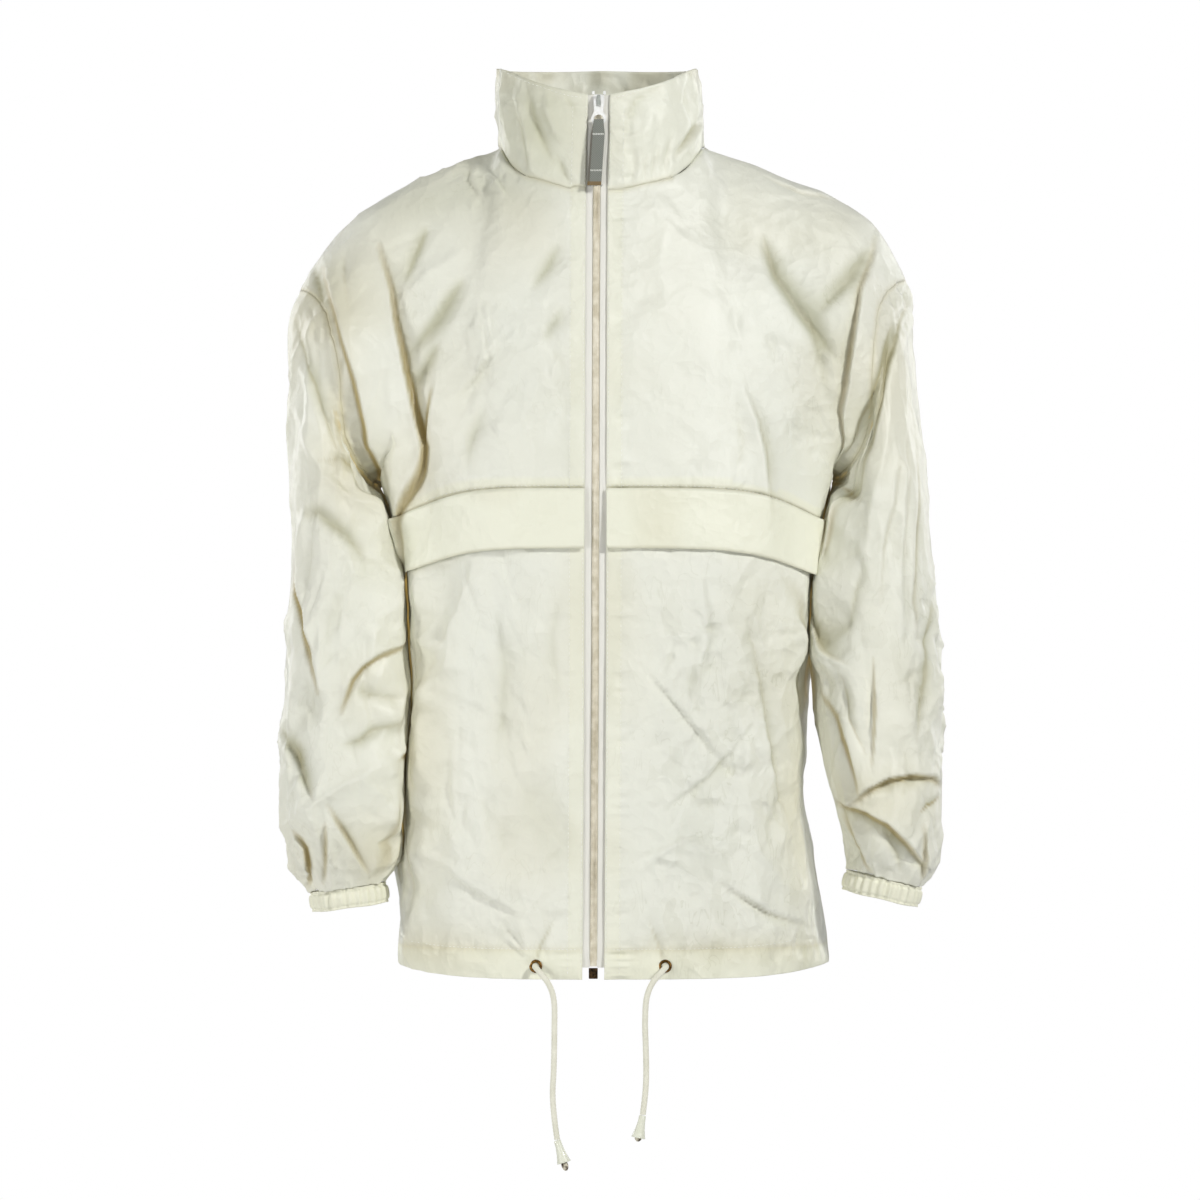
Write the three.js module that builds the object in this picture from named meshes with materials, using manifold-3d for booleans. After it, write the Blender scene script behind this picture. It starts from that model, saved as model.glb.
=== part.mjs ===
// Windbreaker jacket in its worn, hollow form: stand collar, full zip, chest flaps,
// dropped sleeves with gathered elastic cuffs and a drawcord hem. Millimetres, +Z up,
// front towards -Y, the wearer's left towards +X, origin between the shoulder tops.
import * as THREE from 'three';
import * as BufferGeometryUtils from 'three/addons/utils/BufferGeometryUtils.js';
import Module from 'manifold-3d';

const wasm = await Module();
wasm.setup();

// Driving dimensions
const CLOTH = 1.2; // wall of the single cloth
const HEM_CLOTH = 2.4; // wall of the turned hem, two layers and the casing
const SEAM_GAP = 0.26; // each piece ends this far from its seam line
const LAY_GAP = 0.4; // between a panel and what lies on it
const HEM_Z = -747;
const CHEST_SEAM_Z = -310;
const NECK_FRONT_Z = -43;
const SIDE_HEM_Z = -738;
const SIDE_SEAM_Z = -342;
const BACK_HEM_Z = -744;
const BACK_CHEST_Z = -336;
const FLAP_DEPTH = 54;
const FLAP_FLARE = 2.5;
const FACING = 14; // turned and stitched strip beside the zip
const ZIP_VISIBLE = 9.5; // half of the width that shows between the front edges
const TORSO_ROUND = 2.5; // superellipse exponent of the body rings
const COLLAR_ROUND = 2.5;
const SLEEVE_ROUND = 2.2;
const SIDE_Y = 12; // the side seams run a little behind the middle
const ROW_FALL = 5; // power with which each row falls or rises towards the side seam
const COLLAR_BULGE = 2.5;
const CUFF_GATHERS = 26;
const CUFF_HEIGHT = 18;
const CUFF_WALL = 1.6;
const GATHER_DEPTH = 1.1;

// Grid of the cloth: columns round the body, rows up it
const NECK_COLUMNS = 7;
const SHOULDER_COLUMNS = 8;
const FRONT_COLUMNS = NECK_COLUMNS + SHOULDER_COLUMNS;
const BACK_NECK_COLUMNS = 5;
const CASING_HEIGHTS = [0, 13, 26, 30];
const BODY_ROWS = 8;
const FLAP_ROWS = 2;
const SEAM_ROW = CASING_HEIGHTS.length - 1 + BODY_ROWS + FLAP_ROWS;
const ARMPIT_ROW = SEAM_ROW + 2;
const ARMHOLE_ROWS = 12;
const TOP_ROW = ARMPIT_ROW + ARMHOLE_ROWS;
const SLEEVE_ROWS = 18;
const COLLAR_ROWS = 4;

// Zip, pull and cords
const COIL_WIDTH = 6.2;
const COIL_DEPTH = 2.4;
const COIL_PROUD = 0.2; // how far the coil lies behind the front edges' face
const TAPE_INNER = 3.4;
const TAPE_OUTER = 13;
const TAPE_THICK = 0.8;
const TAPE_BACK = 1.75;
const ZIP_BOTTOM_Z = -736;
const ZIP_TOP_Z = 42;
const SLIDER_Z = 35;
const SLIDER_LENGTH = 15;
const SLIDER_WIDTH = 10;
const PIVOT_Z = 37.5;
const STRAP_WIDTH = 12.5;
const STRAP_NARROW = 0.69; // where it passes through the tab's loop
const STRAP_LEAN = -4; // sideways by its foot
const CORD_DIAMETER = 5.4;

// Body rings: height, half widths on the wearer's right and left, depth before and behind
const torsoSections = [
  { z: -747, right: 184, left: 207, front: 139, back: 130 },
  { z: -700, right: 184, left: 204, front: 140, back: 131 },
  { z: -650, right: 183, left: 196, front: 141, back: 132 },
  { z: -600, right: 181, left: 187, front: 141, back: 133 },
  { z: -535, right: 178, left: 187, front: 142, back: 135 },
  { z: -460, right: 175, left: 190, front: 142, back: 136 },
  { z: -400, right: 175, left: 193, front: 141, back: 137 },
  { z: -342, right: 182, left: 200, front: 140, back: 138 },
  { z: -306, right: 193, left: 207, front: 139, back: 138 },
];

// Line of the front edges and of the middle back above the chest seam
const frontLine = [
  { z: -310, y: 140 }, { z: -220, y: 131 }, { z: -150, y: 118 }, { z: -90, y: 104 },
  { z: -43, y: 95 }, { z: 0, y: 98 }, { z: 43, y: 99 },
];
const backLine = [
  { z: -336, y: 138 }, { z: -200, y: 132 }, { z: -130, y: 120 }, { z: -60, y: 99 }, { z: 2, y: 74 },
];
const zipLine = [
  { z: -747, x: -6 }, { z: -500, x: -4.5 }, { z: -320, x: -4 }, { z: -50, x: -3 }, { z: 45, x: -1 },
];

// Shoulder seam and neckline of each side: distance out, depth (+Y is back) and height
const shoulderSeam = {
  right: [
    { x: 91, y: -8, z: 0 }, { x: 130, y: -8, z: -13 }, { x: 173, y: -8, z: -31 },
    { x: 219, y: -9, z: -58 }, { x: 247, y: -10, z: -83 }, { x: 266, y: -10, z: -110 },
    { x: 276, y: -10, z: -130 },
  ],
  left: [
    { x: 95, y: -8, z: 1 }, { x: 144, y: -8, z: -13 }, { x: 186, y: -8, z: -31 },
    { x: 220, y: -9, z: -47 }, { x: 257, y: -10, z: -72 }, { x: 272, y: -10, z: -98 },
    { x: 281, y: -10, z: -122 },
  ],
};
const necklineHeight = [
  { x: 0, z: -44 }, { x: 20, z: -42 }, { x: 39, z: -37 }, { x: 63, z: -31 }, { x: 80, z: -20 },
  { x: 95, z: 0 },
];

// Top edge of the collar by the angle round the neck, 0 in front and 180 behind
const collarTop = [
  { angle: 0, z: 43, right: 90, left: 86, front: 99, back: 80 },
  { angle: 25, z: 50, right: 92, left: 87, front: 100, back: 80 },
  { angle: 60, z: 69, right: 94, left: 88, front: 96, back: 80 },
  { angle: 90, z: 73, right: 94, left: 89, front: 92, back: 80 },
  { angle: 180, z: 78, right: 94, left: 89, front: 92, back: 80 },
];

// Sleeve rings: outer and inner points seen from the front, middle depth, half depth
const sleeveSections = {
  right: [
    { ox: 276, oz: -130, ix: 193, iz: -306, y: -3, deep: 76, sway: 18 },
    { ox: 284, oz: -152, ix: 198, iz: -314, y: -3, deep: 76, sway: 12 },
    { ox: 284.5, oz: -200, ix: 192, iz: -332, y: -5, deep: 75, sway: 5 },
    { ox: 282, oz: -272, ix: 186, iz: -357, y: -13, deep: 73, sway: 0 },
    { ox: 279.5, oz: -352, ix: 178, iz: -398, y: -27, deep: 71, sway: 0 },
    { ox: 284, oz: -455, ix: 173.5, iz: -462, y: -38, deep: 69, sway: 0 },
    { ox: 289, oz: -545, ix: 177, iz: -545, y: -44, deep: 66, sway: 0 },
    { ox: 290, oz: -608, ix: 181, iz: -606, y: -47, deep: 60, sway: 0 },
    { ox: 279, oz: -646, ix: 186, iz: -640, y: -48, deep: 49, sway: 0 },
    { ox: 261, oz: -672, ix: 194, iz: -663, y: -48, deep: 33, sway: 0 },
  ],
  left: [
    { ox: 281, oz: -122, ix: 207, iz: -299, y: -3, deep: 76, sway: 18 },
    { ox: 285, oz: -145, ix: 213, iz: -308, y: -3, deep: 76, sway: 12 },
    { ox: 285.5, oz: -200, ix: 209, iz: -326, y: -5, deep: 75, sway: 5 },
    { ox: 293, oz: -280, ix: 204, iz: -350, y: -13, deep: 73, sway: 0 },
    { ox: 300, oz: -370, ix: 196.5, iz: -398, y: -27, deep: 71, sway: 0 },
    { ox: 310, oz: -465, ix: 190.5, iz: -465, y: -38, deep: 69, sway: 0 },
    { ox: 310, oz: -545, ix: 199, iz: -540, y: -44, deep: 66, sway: 0 },
    { ox: 308, oz: -622, ix: 214, iz: -600, y: -47, deep: 58, sway: 0 },
    { ox: 301, oz: -650, ix: 222, iz: -632, y: -48, deep: 46, sway: 0 },
    { ox: 290, oz: -668, ix: 223, iz: -652, y: -48, deep: 33, sway: 0 },
  ],
};

// Largest folds, seen from the front or from behind: x and z along each, height and half width
const folds = [
  {
    name: 'right armhole fold', on: 'front', height: 6, width: 15,
    path: [[-249, -109], [-232, -174], [-210, -247], [-196, -290]],
  },
  {
    name: 'right armhole gap', on: 'front', height: -8, width: 13,
    path: [[-250, -190], [-232, -240], [-212, -285]],
  },
  {
    name: 'right chest gap', on: 'front', height: -8, width: 14,
    path: [[-200, -93], [-187, -150], [-172, -214], [-162, -275]],
  },
  {
    name: 'right chest hollow', on: 'front', height: -4, width: 26,
    path: [[-40, -90], [-66, -130], [-80, -166]],
  },
  {
    name: 'right lower ridge', on: 'front', height: 4, width: 20,
    path: [[-112, -400], [-140, -508], [-155, -600]],
  },
  {
    name: 'right elbow', on: 'front', height: -6, width: 15,
    path: [[-192, -442], [-228, -500], [-245, -560]],
  },
  {
    name: 'right outer arm', on: 'front', height: -5, width: 15,
    path: [[-262, -330], [-268, -450], [-262, -590]],
  },
  {
    name: 'right cuff fold', on: 'front', height: 5, width: 14,
    path: [[-216, -520], [-212, -590], [-222, -640]],
  },
  {
    name: 'left shoulder fold', on: 'front', height: -5, width: 14,
    path: [[255, -80], [249, -100], [236, -134]],
  },
  {
    name: 'left armhole fold', on: 'front', height: 6, width: 14,
    path: [[276, -150], [259, -202], [249, -245], [240, -285]],
  },
  {
    name: 'left armhole gap', on: 'front', height: -8, width: 13,
    path: [[240, -190], [232, -240], [226, -300]],
  },
  {
    name: 'left chest hollow', on: 'front', height: -6, width: 26,
    path: [[140, -60], [180, -95], [215, -140]],
  },
  {
    name: 'left chest ridge', on: 'front', height: 5, width: 20,
    path: [[134, -230], [148, -300], [163, -395], [172, -487], [176, -580]],
  },
  {
    name: 'left lower ridge', on: 'front', height: 4, width: 18,
    path: [[110, -446], [130, -560], [140, -640]],
  },
  {
    name: 'left elbow', on: 'front', height: -5, width: 16,
    path: [[215, -440], [250, -480], [285, -500]],
  },
  {
    name: 'left forearm', on: 'front', height: -6, width: 14,
    path: [[228, -590], [262, -588], [292, -574]],
  },
  {
    name: 'left cuff fold', on: 'front', height: 5, width: 13,
    path: [[280, -560], [270, -610], [258, -645]],
  },
  {
    name: 'back right blade', on: 'back', height: -6, width: 20,
    path: [[-190, -120], [-160, -220], [-150, -300]],
  },
  {
    name: 'back left blade', on: 'back', height: -6, width: 20,
    path: [[195, -115], [168, -210], [150, -310]],
  },
  {
    name: 'back middle', on: 'back', height: 4, width: 24,
    path: [[-30, -330], [-45, -480], [-60, -640]],
  },
  {
    name: 'back waist', on: 'back', height: 4, width: 22,
    path: [[70, -400], [95, -520], [110, -650]],
  },
  {
    name: 'back right elbow', on: 'back', height: -5, width: 16,
    path: [[-270, -440], [-235, -480], [-200, -500]],
  },
  {
    name: 'back left elbow', on: 'back', height: -5, width: 16,
    path: [[295, -430], [255, -470], [215, -500]],
  },
];

// Free drawcord ends: x, y and z by hand from the eyelet down
const cordRoutes = {
  right: [
    [-57, -136.6, -735], [-57.6, -142, -735.2], [-54, -147.5, -739], [-45, -150, -751], [-41, -149, -764],
    [-40.5, -148, -793], [-41, -147, -825], [-42, -147, -848], [-40.5, -147.5, -869], [-38, -148, -888],
  ],
  left: [
    [58, -137.1, -735], [58.5, -142, -735.2], [55, -147.2, -739], [46, -149.5, -750], [41.5, -149, -762],
    [40, -148, -782], [40.5, -147, -804], [41, -147, -825], [40.5, -147.5, -843], [38, -148, -866],
  ],
};
const cordEnds = {
  right: { from: [-38, -148, -888.4], to: [-32, -149, -908], tip: 7 },
  left: { from: [37.9, -148, -866.4], to: [34, -149, -886], tip: 3 },
};
const EYELET_X = { right: -57, left: 58 };
const EYELET_Z = -735;
const EYELET_RADIUS = 6;
const EYELET_HOLE = 3.3;

const vec = (x, y, z) => new THREE.Vector3(x, y, z);
const lerp = (a, b, t) => a + (b - a) * t;
const power = (value, exponent) => Math.sign(value) * Math.abs(value) ** exponent;

// Smooth value of one column at a key between the rows of a table
function at(rows, key, place, column) {
  const sorted = rows[0][key] < rows[rows.length - 1][key] ? rows : [...rows].reverse();
  let i = 0;
  while (i < sorted.length - 2 && place > sorted[i + 1][key]) {
    i += 1;
  }
  const [a, b] = [sorted[i], sorted[i + 1]];
  const before = sorted[Math.max(i - 1, 0)];
  const after = sorted[Math.min(i + 2, sorted.length - 1)];
  const span = b[key] - a[key];
  const t = THREE.MathUtils.clamp((place - a[key]) / span, 0, 1);
  const slopeA = i > 0 ? (b[column] - before[column]) / (b[key] - before[key]) : (b[column] - a[column]) / span;
  const slopeB = i < sorted.length - 2 ? (after[column] - a[column]) / (after[key] - a[key])
    : (b[column] - a[column]) / span;
  const [t2, t3] = [t * t, t * t * t];
  return (2 * t3 - 3 * t2 + 1) * a[column] + (t3 - 2 * t2 + t) * span * slopeA
    + (3 * t2 - 2 * t3) * b[column] + (t3 - t2) * span * slopeB;
}

// Points of a line spaced evenly along it
function spaced(points, count) {
  const lengths = [0];
  for (let i = 1; i < points.length; i += 1) {
    lengths.push(lengths[i - 1] + points[i].distanceTo(points[i - 1]));
  }
  const total = lengths[lengths.length - 1];
  const result = [];
  for (let k = 0; k <= count; k += 1) {
    const place = (total * k) / count;
    let i = 1;
    while (i < points.length - 1 && lengths[i] < place) {
      i += 1;
    }
    const t = (place - lengths[i - 1]) / (lengths[i] - lengths[i - 1]);
    result.push(points[i - 1].clone().lerp(points[i], t));
  }
  return result;
}

const frontY = (z) => -(z < CHEST_SEAM_Z ? at(torsoSections, 'z', z, 'front') : at(frontLine, 'z', z, 'y'));
const zipX = (z) => at(zipLine, 'z', z, 'x');
const signOf = { right: -1, left: 1 };
const edgeX = (side, z) => zipX(z) + signOf[side] * ZIP_VISIBLE;

// Height of each row at the front edge, the side seam and the middle back
const rowHeights = [];
for (const height of CASING_HEIGHTS) {
  rowHeights.push({ front: HEM_Z + height, side: SIDE_HEM_Z + height, back: BACK_HEM_Z + height });
}
const bodyStart = rowHeights[rowHeights.length - 1];
const flapFoot = {
  front: CHEST_SEAM_Z - FLAP_DEPTH,
  side: SIDE_SEAM_Z - FLAP_DEPTH,
  back: BACK_CHEST_Z - FLAP_DEPTH,
};
const chestRow = { front: CHEST_SEAM_Z, side: SIDE_SEAM_Z, back: BACK_CHEST_Z };
const between = (a, b, t) => ({
  front: lerp(a.front, b.front, t),
  side: lerp(a.side, b.side, t),
  back: lerp(a.back, b.back, t),
});
for (let i = 1; i <= BODY_ROWS; i += 1) {
  rowHeights.push(between(bodyStart, flapFoot, i / BODY_ROWS));
}
for (let i = 1; i <= FLAP_ROWS; i += 1) {
  rowHeights.push(between(flapFoot, chestRow, i / FLAP_ROWS));
}

// A quarter of the body's ring at one row, from the middle to the side seam
function quarterRing(side, face, row) {
  const heights = rowHeights[row];
  const middleZ = face === 'front' ? heights.front : heights.back;
  const half = at(torsoSections, 'z', heights.side, side);
  const deep = face === 'front' ? -frontY(middleZ) : at(torsoSections, 'z', heights.side, 'back');
  const depthSign = face === 'front' ? -1 : 1;
  const startX = face === 'front' ? edgeX(side, middleZ) : 0;
  const points = [];
  for (let k = 0; k <= 90; k += 1) {
    const angle = (k * Math.PI) / 180;
    const x = signOf[side] * half * power(Math.sin(angle), 2 / TORSO_ROUND);
    const y = lerp(SIDE_Y, depthSign * deep, power(Math.cos(angle), 2 / TORSO_ROUND));
    const drop = (Math.abs(x) / half) ** ROW_FALL;
    if (Math.abs(x) > Math.abs(startX) + 0.5) {
      points.push(vec(x, y, lerp(middleZ, heights.side, drop)));
    }
  }
  points.unshift(vec(startX, depthSign * deep, middleZ));
  points.at(-1).set(signOf[side] * half, SIDE_Y, heights.side);
  return points;
}

// Front columns: the edge, the inner line of the facing, then even steps
function withFacing(side, points, count) {
  const edge = points[0];
  const facing = edge.clone().add(vec(signOf[side] * FACING, 0, 0));
  const rest = points.filter((p) => Math.abs(p.x) > Math.abs(facing.x) + 1);
  facing.y = lerp(edge.y, rest[0].y, 0.6);
  facing.z = lerp(edge.z, rest[0].z, 0.6);
  return [edge, ...spaced([facing, ...rest], count - 1)];
}

// Closed ring of the armhole or sleeve, from the armpit round the front
function sleeveRing(side, section, steps) {
  const outer = vec(section.ox, 0, section.oz);
  const inner = vec(section.ix, 0, section.iz);
  const middle = outer.clone().lerp(inner, 0.5);
  const reach = inner.clone().sub(outer).multiplyScalar(0.5);
  const ring = [];
  for (let j = 0; j < steps; j += 1) {
    const angle = (j * 2 * Math.PI) / steps;
    const point = middle.clone().addScaledVector(reach, power(Math.cos(angle), 2 / SLEEVE_ROUND));
    point.y = section.y - section.deep * power(Math.sin(angle), 2 / SLEEVE_ROUND);
    point.x += section.sway * Math.sin(2 * angle) * Math.sign(Math.sin(angle));
    point.x *= signOf[side];
    ring.push(point);
  }
  return ring;
}
const RING_STEPS = 2 * ARMHOLE_ROWS;

const armholes = {
  right: sleeveRing('right', sleeveSections.right[0], RING_STEPS),
  left: sleeveRing('left', sleeveSections.left[0], RING_STEPS),
};

// Side edge of a panel from the chest seam row to the shoulder tip
function sideEdge(side, face) {
  const ring = armholes[side];
  const foot = quarterRing(side, 'front', SEAM_ROW).at(-1);
  const pit = ring[0];
  const points = [foot, foot.clone().lerp(pit, 0.55)];
  for (let k = 0; k <= ARMHOLE_ROWS; k += 1) {
    points.push(ring[face === 'front' ? k : (RING_STEPS - k) % RING_STEPS].clone());
  }
  return points;
}

// Neckline of a quarter: in front from the zip edge, behind from the middle back
function neckline(side, face) {
  const tip = shoulderSeam[side][0];
  const startX = face === 'front' ? edgeX(side, NECK_FRONT_Z) : 0;
  const deep = face === 'front' ? -frontY(NECK_FRONT_Z) : at(backLine, 'z', 2, 'y');
  const depthSign = face === 'front' ? -1 : 1;
  const points = [];
  for (let k = 0; k <= 90; k += 1) {
    const angle = (k * Math.PI) / 180;
    const x = tip.x * power(Math.sin(angle), 2 / COLLAR_ROUND);
    const share = power(Math.cos(angle), 2 / COLLAR_ROUND);
    const y = tip.y + (depthSign * deep - tip.y) * share;
    const z = face === 'front' ? lerp(at(necklineHeight, 'x', x, 'z'), tip.z, x / tip.x > 0.95 ? 1 : 0)
      : lerp(2, tip.z, (x / tip.x) ** 2);
    if (x > Math.abs(startX) + 0.5 && k < 90) {
      points.push(vec(signOf[side] * x, y, z));
    }
  }
  points.push(vec(signOf[side] * tip.x, tip.y, tip.z));
  points.unshift(vec(startX, depthSign * deep, face === 'front' ? NECK_FRONT_Z : 2));
  return points;
}

function shoulderPoints(side) {
  const curve = new THREE.CatmullRomCurve3(
    shoulderSeam[side].map((p) => vec(signOf[side] * p.x, p.y, p.z)), false, 'centripetal');
  const points = spaced(curve.getPoints(160), SHOULDER_COLUMNS);
  points[SHOULDER_COLUMNS] = armholes[side][ARMHOLE_ROWS].clone();
  return points;
}

function topEdge(side, face) {
  const neck = face === 'front' ? withFacing(side, neckline(side, face), NECK_COLUMNS)
    : spaced(neckline(side, face), BACK_NECK_COLUMNS);
  return [...neck, ...shoulderPoints(side).slice(1)];
}

// One half of the front or back as a grid of points, rows up and columns outwards
function halfPanel(side, face) {
  const columns = face === 'front' ? FRONT_COLUMNS : BACK_NECK_COLUMNS + SHOULDER_COLUMNS;
  const grid = [];
  for (let row = 0; row <= SEAM_ROW; row += 1) {
    const ring = quarterRing(side, face, row);
    grid.push(face === 'front' ? withFacing(side, ring, columns) : spaced(ring, columns));
  }
  const bottom = grid[SEAM_ROW];
  const top = topEdge(side, face);
  const outer = sideEdge(side, face);
  const upperRows = TOP_ROW - SEAM_ROW;
  const reach = bottom.map((p) => Math.abs((p.x - bottom[0].x) / (bottom[columns].x - bottom[0].x)));
  for (let i = 1; i <= upperRows; i += 1) {
    const angle = (i / upperRows) * (Math.PI / 2);
    const keep = vec(1 - i / upperRows, Math.cos(angle), 1 - Math.sin(angle));
    const mix = (low, high) => vec(
      lerp(high.x, low.x, keep.x), lerp(high.y, low.y, keep.y), lerp(high.z, low.z, keep.z));
    const inner = mix(bottom[0], top[0]);
    if (face === 'front') {
      inner.set(edgeX(side, inner.z), frontY(inner.z), inner.z);
    } else {
      inner.set(0, at(backLine, 'z', inner.z, 'y'), inner.z);
    }
    const innerShift = inner.clone().sub(mix(bottom[0], top[0]));
    const outerShift = outer[i].clone().sub(mix(bottom[columns], top[columns]));
    const line = [];
    for (let j = 0; j <= columns; j += 1) {
      const pull = (j / columns) ** 2.2 * lerp(reach[j], 1, 0.5);
      const point = mix(bottom[j], top[j]);
      point.addScaledVector(innerShift, 1 - pull).addScaledVector(outerShift, pull);
      line.push(point);
    }
    line[columns] = outer[i].clone();
    grid.push(i === upperRows ? top.map((p) => p.clone()) : line);
  }
  return grid;
}

// Sleeve as rings from the armhole down to the cuff
function sleeveGrid(side) {
  const table = sleeveSections[side].map((row, index) => ({ ...row, index }));
  const grid = [armholes[side].map((p) => p.clone())];
  for (let k = 1; k <= SLEEVE_ROWS; k += 1) {
    const place = (k / SLEEVE_ROWS) ** 1.05 * (table.length - 1);
    const section = {};
    for (const column of ['ox', 'oz', 'ix', 'iz', 'y', 'deep', 'sway']) {
      section[column] = at(table, 'index', place, column);
    }
    grid.push(sleeveRing(side, section, RING_STEPS));
  }
  return grid;
}

// Collar from the neckline up, columns from the wearer's right front edge to the left one
function collarGrid() {
  const base = [
    ...topEdge('right', 'front').slice(0, NECK_COLUMNS + 1),
    ...topEdge('right', 'back').slice(0, BACK_NECK_COLUMNS).reverse(),
    ...topEdge('left', 'back').slice(1, BACK_NECK_COLUMNS + 1),
    ...topEdge('left', 'front').slice(0, NECK_COLUMNS).reverse(),
  ];
  const topOf = (point, index) => {
    const side = index <= base.length / 2 ? 'right' : 'left';
    const angle = Math.abs(Math.atan2(point.x, -point.y - 8)) * (180 / Math.PI);
    const half = at(collarTop, 'angle', angle, side);
    const deep = angle < 90 ? at(collarTop, 'angle', angle, 'front') : at(collarTop, 'angle', angle, 'back');
    const radians = (angle * Math.PI) / 180;
    const scale = (Math.abs(Math.sin(radians) / half) ** COLLAR_ROUND
      + Math.abs(Math.cos(radians) / deep) ** COLLAR_ROUND) ** (-1 / COLLAR_ROUND);
    const z = at(collarTop, 'angle', angle, 'z');
    return vec(signOf[side] * Math.sin(radians) * scale, -Math.cos(radians) * scale, z);
  };
  const top = base.map(topOf);
  const last = base.length - 1;
  const topFront = collarTop[0].z;
  for (const [side, edge, facing] of [['right', 0, 1], ['left', last, last - 1]]) {
    top[edge].set(edgeX(side, topFront), frontY(topFront), topFront);
    top[facing].set(edgeX(side, topFront) + signOf[side] * FACING, frontY(topFront) + 0.5, topFront + 2.5);
  }
  const grid = [];
  for (let i = 0; i <= COLLAR_ROWS; i += 1) {
    const t = i / COLLAR_ROWS;
    grid.push(base.map((foot, j) => {
      const point = foot.clone().lerp(top[j], t);
      const nearZip = Math.min(j, last - j) < 2;
      if (nearZip) {
        point.y = frontY(point.z) + (point.y > frontY(point.z) + 0.3 ? 0.5 : 0);
        return point;
      }
      const outward = vec(point.x, point.y, 0).normalize();
      return point.addScaledVector(outward, COLLAR_BULGE * Math.sin(Math.PI * t));
    }));
  }
  return grid;
}

// Grids of the whole shell, with the way each one faces
const mirrorRow = (row) => [...row].reverse();
const halves = {
  right: { front: halfPanel('right', 'front'), back: halfPanel('right', 'back') },
  left: { front: halfPanel('left', 'front'), back: halfPanel('left', 'back') },
};
const backRows = halves.right.back.map((row, i) => [...mirrorRow(row), ...halves.left.back[i].slice(1)]);
const shell = {
  frontRight: { grid: halves.right.front, facing: 1 },
  frontLeft: { grid: halves.left.front, facing: -1 },
  back: { grid: backRows, facing: 1 },
  sleeveRight: { grid: sleeveGrid('right'), facing: -1, closed: true },
  sleeveLeft: { grid: sleeveGrid('left'), facing: 1, closed: true },
  collar: { grid: collarGrid(), facing: 1 },
};

const placeKey = (p) => `${p.x.toFixed(2)},${p.y.toFixed(2)},${p.z.toFixed(2)}`;

// Normals averaged over every piece that shares a point, so that walls meet at the seams
function sharedNormals(pieces) {
  const sums = new Map();
  for (const { grid, facing, closed } of Object.values(pieces)) {
    const width = grid[0].length;
    for (let i = 0; i < grid.length - 1; i += 1) {
      for (let j = 0; j < (closed ? width : width - 1); j += 1) {
        const corners = [grid[i][j], grid[i][(j + 1) % width], grid[i + 1][(j + 1) % width], grid[i + 1][j]];
        const normal = corners[2].clone().sub(corners[0])
          .cross(corners[3].clone().sub(corners[1])).multiplyScalar(-facing);
        for (const corner of corners) {
          const key = placeKey(corner);
          sums.set(key, (sums.get(key) ?? vec(0, 0, 0)).add(normal));
        }
      }
    }
  }
  return (point) => sums.get(placeKey(point)).clone().normalize();
}

function distanceTo(path, x, z) {
  let best = { distance: Infinity, along: 0 };
  for (let k = 0; k < path.length - 1; k += 1) {
    const [ax, az] = path[k];
    const [bx, bz] = path[k + 1];
    const t = THREE.MathUtils.clamp(
      ((x - ax) * (bx - ax) + (z - az) * (bz - az)) / ((bx - ax) ** 2 + (bz - az) ** 2), 0, 1);
    const distance = Math.hypot(x - lerp(ax, bx, t), z - lerp(az, bz, t));
    if (distance < best.distance) {
      best = { distance, along: (k + t) / (path.length - 1) };
    }
  }
  return best;
}

// How far the folds move a point along its normal
function foldHeight(point, normal) {
  const clearOfZip = THREE.MathUtils.smoothstep(Math.abs(point.x - zipX(point.z)), 26, 50);
  const clearOfHem = THREE.MathUtils.smoothstep(point.z, HEM_Z, HEM_Z + 80);
  let height = 0;
  for (const fold of folds) {
    const faces = fold.on === 'front' ? -normal.y : normal.y;
    const { distance, along } = distanceTo(fold.path, point.x, point.z);
    const taper = Math.sin(Math.PI * THREE.MathUtils.clamp(along * 0.86 + 0.07, 0, 1));
    height += fold.height * Math.exp(-((distance / fold.width) ** 2)) * taper
      * THREE.MathUtils.smoothstep(faces, 0.1, 0.6);
  }
  return point.z > NECK_FRONT_Z ? 0 : height * clearOfZip * clearOfHem;
}

const flatNormal = sharedNormals(shell);
for (const piece of Object.values(shell)) {
  piece.grid = piece.grid.map((row) => row.map((point) => {
    const normal = flatNormal(point);
    return point.clone().addScaledVector(normal, foldHeight(point, normal));
  }));
}
const normalAt = sharedNormals(shell);

// Closed wall between an outer and an inner grid of points
function wallGeometry(outer, inner, closed = false) {
  const rows = outer.length;
  const width = outer[0].length;
  const positions = [];
  const index = [];
  for (const grid of [outer, inner]) {
    for (const row of grid) {
      for (const p of row) {
        positions.push(p.x, p.y, p.z);
      }
    }
  }
  const out = (i, j) => i * width + (j % width);
  const inn = (i, j) => rows * width + out(i, j);
  const quad = (a, b, c, d) => index.push(a, b, c, a, c, d);
  const spans = closed ? width : width - 1;
  for (let i = 0; i < rows - 1; i += 1) {
    for (let j = 0; j < spans; j += 1) {
      quad(out(i, j), out(i, j + 1), out(i + 1, j + 1), out(i + 1, j));
      quad(inn(i, j), inn(i + 1, j), inn(i + 1, j + 1), inn(i, j + 1));
    }
  }
  for (let j = 0; j < spans; j += 1) {
    quad(out(0, j + 1), out(0, j), inn(0, j), inn(0, j + 1));
    quad(out(rows - 1, j), out(rows - 1, j + 1), inn(rows - 1, j + 1), inn(rows - 1, j));
  }
  for (let i = 0; i < rows - 1 && !closed; i += 1) {
    quad(out(i, 0), out(i + 1, 0), inn(i + 1, 0), inn(i, 0));
    quad(out(i + 1, width - 1), out(i, width - 1), inn(i, width - 1), inn(i + 1, width - 1));
  }
  const geometry = new THREE.BufferGeometry();
  geometry.setAttribute('position', new THREE.Float32BufferAttribute(positions, 3));
  geometry.setIndex(index);
  return outward(geometry);
}

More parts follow.
